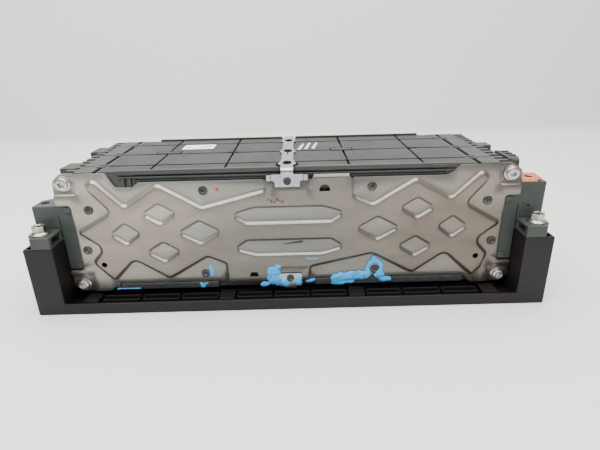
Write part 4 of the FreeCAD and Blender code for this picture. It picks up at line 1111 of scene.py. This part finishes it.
# ---- Tie bolts and nuts ---------------------------------------------------------------------
# Four long M6 bolts through the corners squeeze the whole stack between the plates. Bright zinc
# pan heads with a flange and a six-lobed socket in front; hex flange nuts behind.

PAD_FACE = 0.0670
TIE_BOLT_PLACES = [(side * 0.190, z) for side in (-1, 1) for z in (0.1151, 0.0195)]
TIE_NUT_RADIUS = 0.010 / math.sqrt(3)

tie_bolt = turned_part("tie_bolt", (
    (0, -0.1415), (0.0026, -0.1415), (0.0030, -0.1410), (0.0030, 0.0001), (0.0064, 0.0001),
    (0.0067, 0.0004), (0.0066, 0.0009), (0.0061, 0.0012), (0.0055, 0.0014), (0.0053, 0.0026),
    (0.0050, 0.0033), (0.0043, 0.0037), (0.0034, 0.0037), (0.0030, 0.0034), (0.0029, 0.0010),
    (0, 0.0006)), steps=48)
for vertex in tie_bolt.data.vertices:
    reach = math.hypot(vertex.co.x, vertex.co.y)
    if 0.0025 < reach < 0.0036 and vertex.co.z > 0.0008:
        lobe = 0.5 - 0.5 * math.cos(6 * math.atan2(vertex.co.y, vertex.co.x))
        share = 1 - 0.24 * lobe * (1 if reach < 0.0032 else 0.3)
        vertex.co.x *= share
        vertex.co.y *= share
bolts = [set_in(own_copy(tie_bolt), (x, -PAD_FACE, z), (0, -1, 0), x * 9 + z * 30)
         for x, z in TIE_BOLT_PLACES]
bpy.data.objects.remove(tie_bolt)
place_piece(join_pieces("tie_bolt_set", bolts), zinc_plate, "plated_steel", "tie_bolts")


def hex_head(name, radius, low, high):
    """A six-sided head or nut with its top corners broken and a shallow dish in its top."""
    bpy.ops.mesh.primitive_cylinder_add(vertices=6, radius=radius, depth=high - low,
                                        location=(0, 0, (low + high) / 2))
    bpy.ops.object.transform_apply(location=True)
    head = bpy.context.object
    head.name = name
    pull_faces(head, lambda c, n: n.z > 0.9, (0, 0, radius * 0.06), inset=radius * 0.10)
    pick_faces(head, lambda c, n: n.z > 0.9)
    bpy.ops.mesh.inset(thickness=radius * 0.14)
    bpy.ops.mesh.inset(thickness=radius * 0.12, depth=-radius * 0.08)
    bpy.ops.object.mode_set(mode="OBJECT")
    return soften(head, radius * 0.05, 2, angle=25.0)


nut = join_pieces("nut", [
    turned_part("nut_flange", ((0, 0), (0.0064, 0), (0.0067, 0.0004), (0.0064, 0.0011),
                               (0.0056, 0.0015), (0, 0.0016))),
    hex_head("nut_body", TIE_NUT_RADIUS, 0.001, 0.0056)])
nuts = [set_in(own_copy(nut), (x, PAD_FACE, z), (0, 1, 0), x * 7 + z * 40)
        for x, z in TIE_BOLT_PLACES]
bpy.data.objects.remove(nut)
place_piece(join_pieces("tie_nut_set", nuts), zinc_plate, "plated_steel", "tie_nuts")


# ---- Straps ---------------------------------------------------------------------------------
# A bright zinc-plated steel strap runs over the deck at mid-length and another under the stack.
# Each ends in a winged bracket, blind-riveted to the plate; the top one has three lugged holes.

STRAP_HALF = 0.0052
STRAP_GAUGE = 0.0012
STRAP_FACE = 0.0722
STRAP_TOP = 0.1251
STRAP_BOTTOM = 0.0114
STRAP_SLOTS = (-0.0525, -0.0050, 0.0460)
SLOT_HALF_WIDTH = 0.0041
SLOT_HALF_LENGTH = 0.0070
LUG_POINT = 0.0079

bright_zinc = finish_of("bright_zinc", (178, 182, 187), (148, 153, 160), 70.0, 2400.0,
                        0.22, 0.36, metallic=1.0, relief=0.06, stretched=(3, 1, 1))
inner_face = STRAP_FACE - STRAP_GAUGE
run = prism("run", [(-STRAP_FACE, 0.1195), (-STRAP_FACE, STRAP_TOP, 0.0034),
                    (STRAP_FACE, STRAP_TOP, 0.0034), (STRAP_FACE, 0.1195),
                    (inner_face, 0.1195), (inner_face, STRAP_TOP - STRAP_GAUGE, 0.0022),
                    (-inner_face, STRAP_TOP - STRAP_GAUGE, 0.0022), (-inner_face, 0.1195)],
            -STRAP_HALF, STRAP_HALF, axis="X")
slot_shades = []
for slot_y in STRAP_SLOTS:
    lug = prism("lug", [(-0.0048, slot_y - 0.010), (0.0048, slot_y - 0.010),
                        (LUG_POINT, slot_y - 0.0035, 0.0005), (0.0048, slot_y + 0.012),
                        (-0.0048, slot_y + 0.012), (-LUG_POINT, slot_y - 0.0035, 0.0005)],
                STRAP_TOP - STRAP_GAUGE, STRAP_TOP)
    carve(run, lug, "UNION")
    oval = [(SLOT_HALF_WIDTH * math.cos(math.radians(turn)),
             slot_y + SLOT_HALF_LENGTH * math.sin(math.radians(turn)))
            for turn in range(0, 360, 12)]
    carve(run, prism("slot", oval, 0.120, 0.128))
    # A black oval on the deck under each slot, and a black strip under the slit, paint the shade
    # seen through them.
    slot_shade = prism("slot_shade", [(x * 1.12, slot_y + (y - slot_y) * 1.06) for x, y in oval],
                 DECK_TOP - 0.0005, DECK_TOP + 0.00015)
    slot_shades.append(slot_shade)
carve(run, box_between("slit", (-0.0006, -0.022, 0.120), (0.0006, -0.009, 0.128)))
slot_shades.append(box_between("slot_shade", (-0.0010, -0.023, DECK_TOP - 0.0005),
                         (0.0010, -0.009, DECK_TOP + 0.00015)))
strap_parts = [soften(run, 0.00025)]
place_piece(join_pieces("deck_slot_shades", slot_shades), gap_shade_black, "frame_plastic")


EAR_ROLL_PLACE = 0.0156
EAR_ROLL_RADII = (0.0024, 0.0014)


def bracket(low, high, shoulder=None):
    """The end of a strap on the front plate: a plate, with two rolled ears above a shoulder."""
    outline = [(-0.0105, low, 0.0015), (0.0105, low, 0.0015), (0.0105, high, 0.0015),
               (-0.0105, high, 0.0015)]
    parts = []
    if shoulder:
        outline = [(-0.0105, low, 0.001), (0.0105, low, 0.001), (0.0105, shoulder, 0.0015),
                   (0.0134, shoulder + 0.001), (0.0134, high), (0.0062, high, 0.001),
                   (0.0052, high + 0.001), (-0.0052, high + 0.001), (-0.0062, high, 0.001),
                   (-0.0134, high), (-0.0134, shoulder + 0.001), (-0.0105, shoulder, 0.0015)]
        arc = [math.radians(angle) for angle in range(180, -1, -20)]
        for side in (-1, 1):
            roll = []
            for radius, turns in zip(EAR_ROLL_RADII, (arc, arc[::-1])):
                roll += [(side * (EAR_ROLL_PLACE - math.cos(math.pi - turn) * radius),
                          -inner_face - 0.0004 - math.sin(turn) * radius) for turn in turns]
            parts.append(soften(prism("ear", roll, shoulder + 0.001, high), 0.0002, 1))
    plate = prism("plate", outline, -STRAP_FACE - 0.0001, -inner_face, axis="Y")
    return parts + [soften(plate, 0.0003)]


for piece in bracket(0.1088, 0.1197, 0.1136):
    strap_parts += [piece, turned_copy(piece, "rear_end")]
top_strap = join_pieces("top_band", strap_parts)
place_piece(top_strap, bright_zinc, "strap_steel", "top_strap")

under = prism("under", [(-STRAP_FACE, 0.0160), (-STRAP_FACE, STRAP_BOTTOM, 0.002),
                        (STRAP_FACE, STRAP_BOTTOM, 0.002), (STRAP_FACE, 0.0160),
                        (inner_face, 0.0160), (inner_face, STRAP_BOTTOM + STRAP_GAUGE, 0.001),
                        (-inner_face, STRAP_BOTTOM + STRAP_GAUGE, 0.001), (-inner_face, 0.0160)],
              -STRAP_HALF, STRAP_HALF, axis="X")
under_parts = [soften(under, 0.00025)]
for piece in bracket(0.0145, 0.0272):
    under_parts += [piece, turned_copy(piece, "rear_end")]
bottom_strap = join_pieces("bottom_band", under_parts)
place_piece(bottom_strap, bright_zinc, "strap_steel", "bottom_strap")

strap_rivet = turned_part("strap_rivet", (
    (0, -0.0064), (0.0016, -0.0062), (0.0016, -0.0002), (0.0032, -0.0001), (0.0035, 0.0003),
    (0.0032, 0.0010), (0.0024, 0.0013), (0.0017, 0.0011), (0.0012, 0.0005), (0.0008, 0.0009),
    (0, 0.0010)))
strap_rivets = [set_in(own_copy(strap_rivet), (0, y * (STRAP_FACE + 0.0001), z), (0, y, 0))
                for y in (-1, 1) for z in (0.114, 0.023)]
bpy.data.objects.remove(strap_rivet)
place_piece(join_pieces("strap_rivet_set", strap_rivets), rivet_black, "dark_rivet",
            "strap_rivets")


# ---- Ear bolts and bushes -------------------------------------------------------------------
# Four M6 hex bolts with a broad flange, through steel sleeves in the ears, into the cradle's
# brass inserts. Zinc plated with a faint yellow passivation.

EAR_BOLT_PLACES = [(x * 0.2135, y * 0.0765) for x in (-1, 1) for y in (-1, 1)]
EAR_TOP = 0.0740

yellow_zinc = finish_of("yellow_zinc", (186, 186, 176), (150, 147, 128), 150.0, 2400.0,
                        0.20, 0.36, metallic=1.0, relief=0.08)
ear_bolt = join_pieces("ear_bolt", [
    turned_part("flange", ((0, -0.024), (0.0025, -0.024), (0.0030, -0.0235), (0.0030, 0.0),
                           (0.0079, 0.0), (0.0082, 0.0004), (0.0079, 0.0009),
                           (0.0066, 0.0015), (0.0058, 0.0022), (0, 0.0023)), steps=48),
    hex_head("hex", 0.010 / math.sqrt(3), 0.0018, 0.0070)])
ear_bolts = [set_in(own_copy(ear_bolt), (x, y, EAR_TOP), (0, 0, 1), x * 11 + y * 23)
             for x, y in EAR_BOLT_PLACES]
bpy.data.objects.remove(ear_bolt)
place_piece(join_pieces("ear_bolt_set", ear_bolts), yellow_zinc, "plated_steel", "ear_bolts")
dress("ear_bushes", zinc_plate)


# ---- Label and paint marks ------------------------------------------------------------------
# A small blank sticker on the third frame, with three printed bars. Beside the strap an inspector
# has left three strokes of white paint, and on the front plate a dot of red.

LABEL = ((-0.108, 0.0190), (-0.076, 0.0395))
PRINTED_BARS = ((-0.0895, -0.0790, 0.0260, 0.0275), (-0.0895, -0.0790, 0.0290, 0.0302),
                (-0.1055, -0.1005, 0.0270, 0.0295))
PAINT_STROKES = ((0.011, 0.008, 0.015, 0.030), (0.018, 0.010, 0.022, 0.034),
                 (0.025, 0.012, 0.029, 0.034))

white_film = finish_of("white_film", (250, 250, 248), (242, 242, 240), 60.0, 2400.0, 0.40, 0.52)
print_grey = finish_of("print_grey", (120, 122, 124), (96, 98, 100), 300.0, 2400.0, 0.5, 0.6)
(label_x0, label_y0), (label_x1, label_y1) = LABEL
label = prism("label", [(label_x0, label_y0, 0.001), (label_x1, label_y0, 0.001),
                        (label_x1, label_y1, 0.001), (label_x0, label_y1, 0.001)],
              DECK_TOP, DECK_TOP + 0.0003)
place_piece(soften(label, 0.0001, 1), white_film, "label_film", "deck_label")
bars = [box_between("bar", (x0, y0, DECK_TOP + 0.0002), (x1, y1, DECK_TOP + 0.0004))
        for x0, x1, y0, y1 in PRINTED_BARS]
place_piece(join_pieces("label_print", bars), print_grey, "label_film")


noise.seed_set(5)       # without a fixed seed, the noise vectors change from run to run


def dab(name, spots, material, slot, seed, relief=0.0002, voxel=0.0005):
    """A smear built from flattened balls, melted together and roughened.

    Each spot is (x, y, z, half size along x, y and z).
    """
    balls = []
    for x, y, z, *size in spots:
        bpy.ops.mesh.primitive_ico_sphere_add(subdivisions=3, radius=1, location=(x, y, z))
        ball = bpy.context.object
        ball.scale = size
        bpy.ops.object.transform_apply(location=True, scale=True)
        for vertex in ball.data.vertices:
            wander = noise.noise_vector(vertex.co * 260 + Vector((seed, 0, 0)))
            vertex.co += Vector([w * 0.28 * reach for w, reach in zip(wander, size)])
        balls.append(ball)
    smear = join_pieces(name, balls)
    melt = smear.modifiers.new("melt", "REMESH")
    melt.mode = "VOXEL"
    melt.voxel_size = voxel
    bpy.ops.object.modifier_apply(modifier="melt")
    for vertex in smear.data.vertices:
        vertex.co += vertex.normal * relief * noise.noise(vertex.co * 900 + Vector((0, seed, 0)))
    only(smear)
    bpy.ops.object.shade_smooth()
    return place_piece(smear, material, slot)


paint_white = finish_of("paint_white", (236, 236, 232), (206, 207, 204), 160.0, 1600.0, 0.4, 0.6)
paint_red = finish_of("paint_red", (196, 48, 78), (160, 32, 58), 160.0, 1600.0, 0.4, 0.6)
strokes = []
for start_x, start_y, end_x, end_y in PAINT_STROKES:
    for k in range(7):
        share = k / 6
        strokes.append((start_x + (end_x - start_x) * share, start_y + (end_y - start_y) * share,
                        DECK_TOP, 0.0019 - 0.0006 * share, 0.0028, 0.0004))
dab("white_paint_marks", strokes, paint_white, "label_film", 3.0, relief=0.0001, voxel=0.0003)
rust_brown = finish_of("rust_brown", (98, 70, 51), (64, 45, 34), 400.0, 2400.0, 0.7, 0.85)
scuff_black = finish_of("scuff_black", (40, 38, 36), (24, 23, 22), 400.0, 2400.0, 0.5, 0.7)
dab("rust_scuff", [(-0.0165 + 0.0024 * k, -0.0710, 0.0975 - 0.0010 * (k % 3), 0.0011, 0.0002,
                    0.0010 + 0.0006 * (k % 2)) for k in range(6)],
    rust_brown, "label_film", 41.0, relief=0.00005, voxel=0.00025)
dab("black_scratch", [(-0.0050 + 0.0022 * k, -0.0686, 0.0550 + 0.0003 * k, 0.0017, 0.0002,
                       0.00040 + 0.00016 * k) for k in range(8)],
    scuff_black, "label_film", 43.0, relief=0.00005, voxel=0.00025)
dab("red_paint_dot", [(-0.060, -PLATE_FACE, 0.1073, 0.0018, 0.0003, 0.0017)], paint_red,
    "label_film", 5.0, relief=0.00005, voxel=0.0002)


# ---- Squeezed-out heat paste ----------------------------------------------------------------
# Blue gap-filling paste has been squeezed out of the joint under the stack and smeared over the
# foot of the front plate, round the lower strap bracket and one of the rivets.

FOOT = -0.0692
ON_TRUSS = -0.0712
ON_BRACKET = -0.0724

fresh_paste = finish_of("fresh_paste", (52, 172, 228), (30, 138, 208), 130.0, 700.0,
                        0.34, 0.52, relief=0.3)
big_smear = [(x, FOOT, z, *size) for x, z, *size in (
    (0.041, 0.0200, 0.0045, 0.0016, 0.0058), (0.046, 0.0205, 0.007, 0.0018, 0.0055),
    (0.054, 0.0215, 0.008, 0.0018, 0.0052), (0.062, 0.0225, 0.007, 0.0016, 0.0050),
    (0.069, 0.0225, 0.005, 0.0014, 0.0040), (0.081, 0.0225, 0.005, 0.0015, 0.0042),
    (0.086, 0.0180, 0.005, 0.0014, 0.0028), (0.090, 0.0180, 0.0025, 0.0012, 0.0022),
    (0.044, 0.0155, 0.007, 0.0015, 0.0025), (0.053, 0.0165, 0.006, 0.0013, 0.0022))]
for angle in range(-40, 221, 20):
    turn = math.radians(angle)
    big_smear.append((0.0765 + 0.0062 * math.cos(turn), FOOT, 0.0290 + 0.0075 * math.sin(turn),
                      0.0021, 0.0011, 0.0026))
big_smear.append((0.0755, FOOT, 0.0390, 0.0022, 0.0010, 0.0032))
dab("paste_smear_right", big_smear, fresh_paste, "thermal_paste", 11.0)
middle_smear = [
    (-0.0150, ON_TRUSS, 0.0285, 0.0060, 0.0013, 0.0068),
    (-0.0165, ON_TRUSS, 0.0215, 0.0050, 0.0014, 0.0060),
    (-0.0115, ON_TRUSS, 0.0335, 0.0035, 0.0011, 0.0030),
    (-0.0110, ON_TRUSS, 0.0200, 0.0060, 0.0014, 0.0050),
    (-0.0060, ON_TRUSS, 0.0185, 0.0050, 0.0015, 0.0045),
    (-0.0235, ON_TRUSS, 0.0168, 0.0045, 0.0011, 0.0026),
    (0.0070, ON_BRACKET, 0.0200, 0.0035, 0.0009, 0.0048),
    (-0.0045, ON_BRACKET, 0.0180, 0.0045, 0.0009, 0.0035),
    (0.0175, FOOT, 0.0180, 0.0045, 0.0012, 0.0018),
    (0.0205, FOOT, 0.0192, 0.0025, 0.0010, 0.0012)]
dab("paste_smear_middle", middle_smear, fresh_paste, "thermal_paste", 17.0)
dab("paste_drip_left", [(-0.0720, -PLATE_FACE, 0.0335, 0.0016, 0.0008, 0.0038),
                        (-0.0715, -PLATE_FACE, 0.0290, 0.0026, 0.0009, 0.0042),
                        (-0.0718, -PLATE_FACE, 0.0262, 0.0020, 0.0008, 0.0020)],
    fresh_paste, "thermal_paste", 23.0)
dab("paste_drip_foot", [(-0.0805, FOOT, 0.0160, 0.0026, 0.0008, 0.0024),
                        (-0.0775, FOOT, 0.0180, 0.0020, 0.0006, 0.0010),
                        (-0.0825, FOOT, 0.0182, 0.0012, 0.0006, 0.0012)],
    fresh_paste, "thermal_paste", 29.0)
dab("paste_film_left", [(-0.1490 + 0.003 * k, FOOT - 0.0002, 0.0146, 0.0030, 0.0004, 0.0008)
                        for k in range(-3, 4)],
    fresh_paste, "thermal_paste", 31.0, relief=0.0001)
dab("paste_streak", [(0.0160 + 0.002 * k, ON_TRUSS + 0.0001, 0.0412, 0.0020, 0.0003, 0.0007)
                     for k in range(5)],
    fresh_paste, "thermal_paste", 37.0, relief=0.0001, voxel=0.0003)
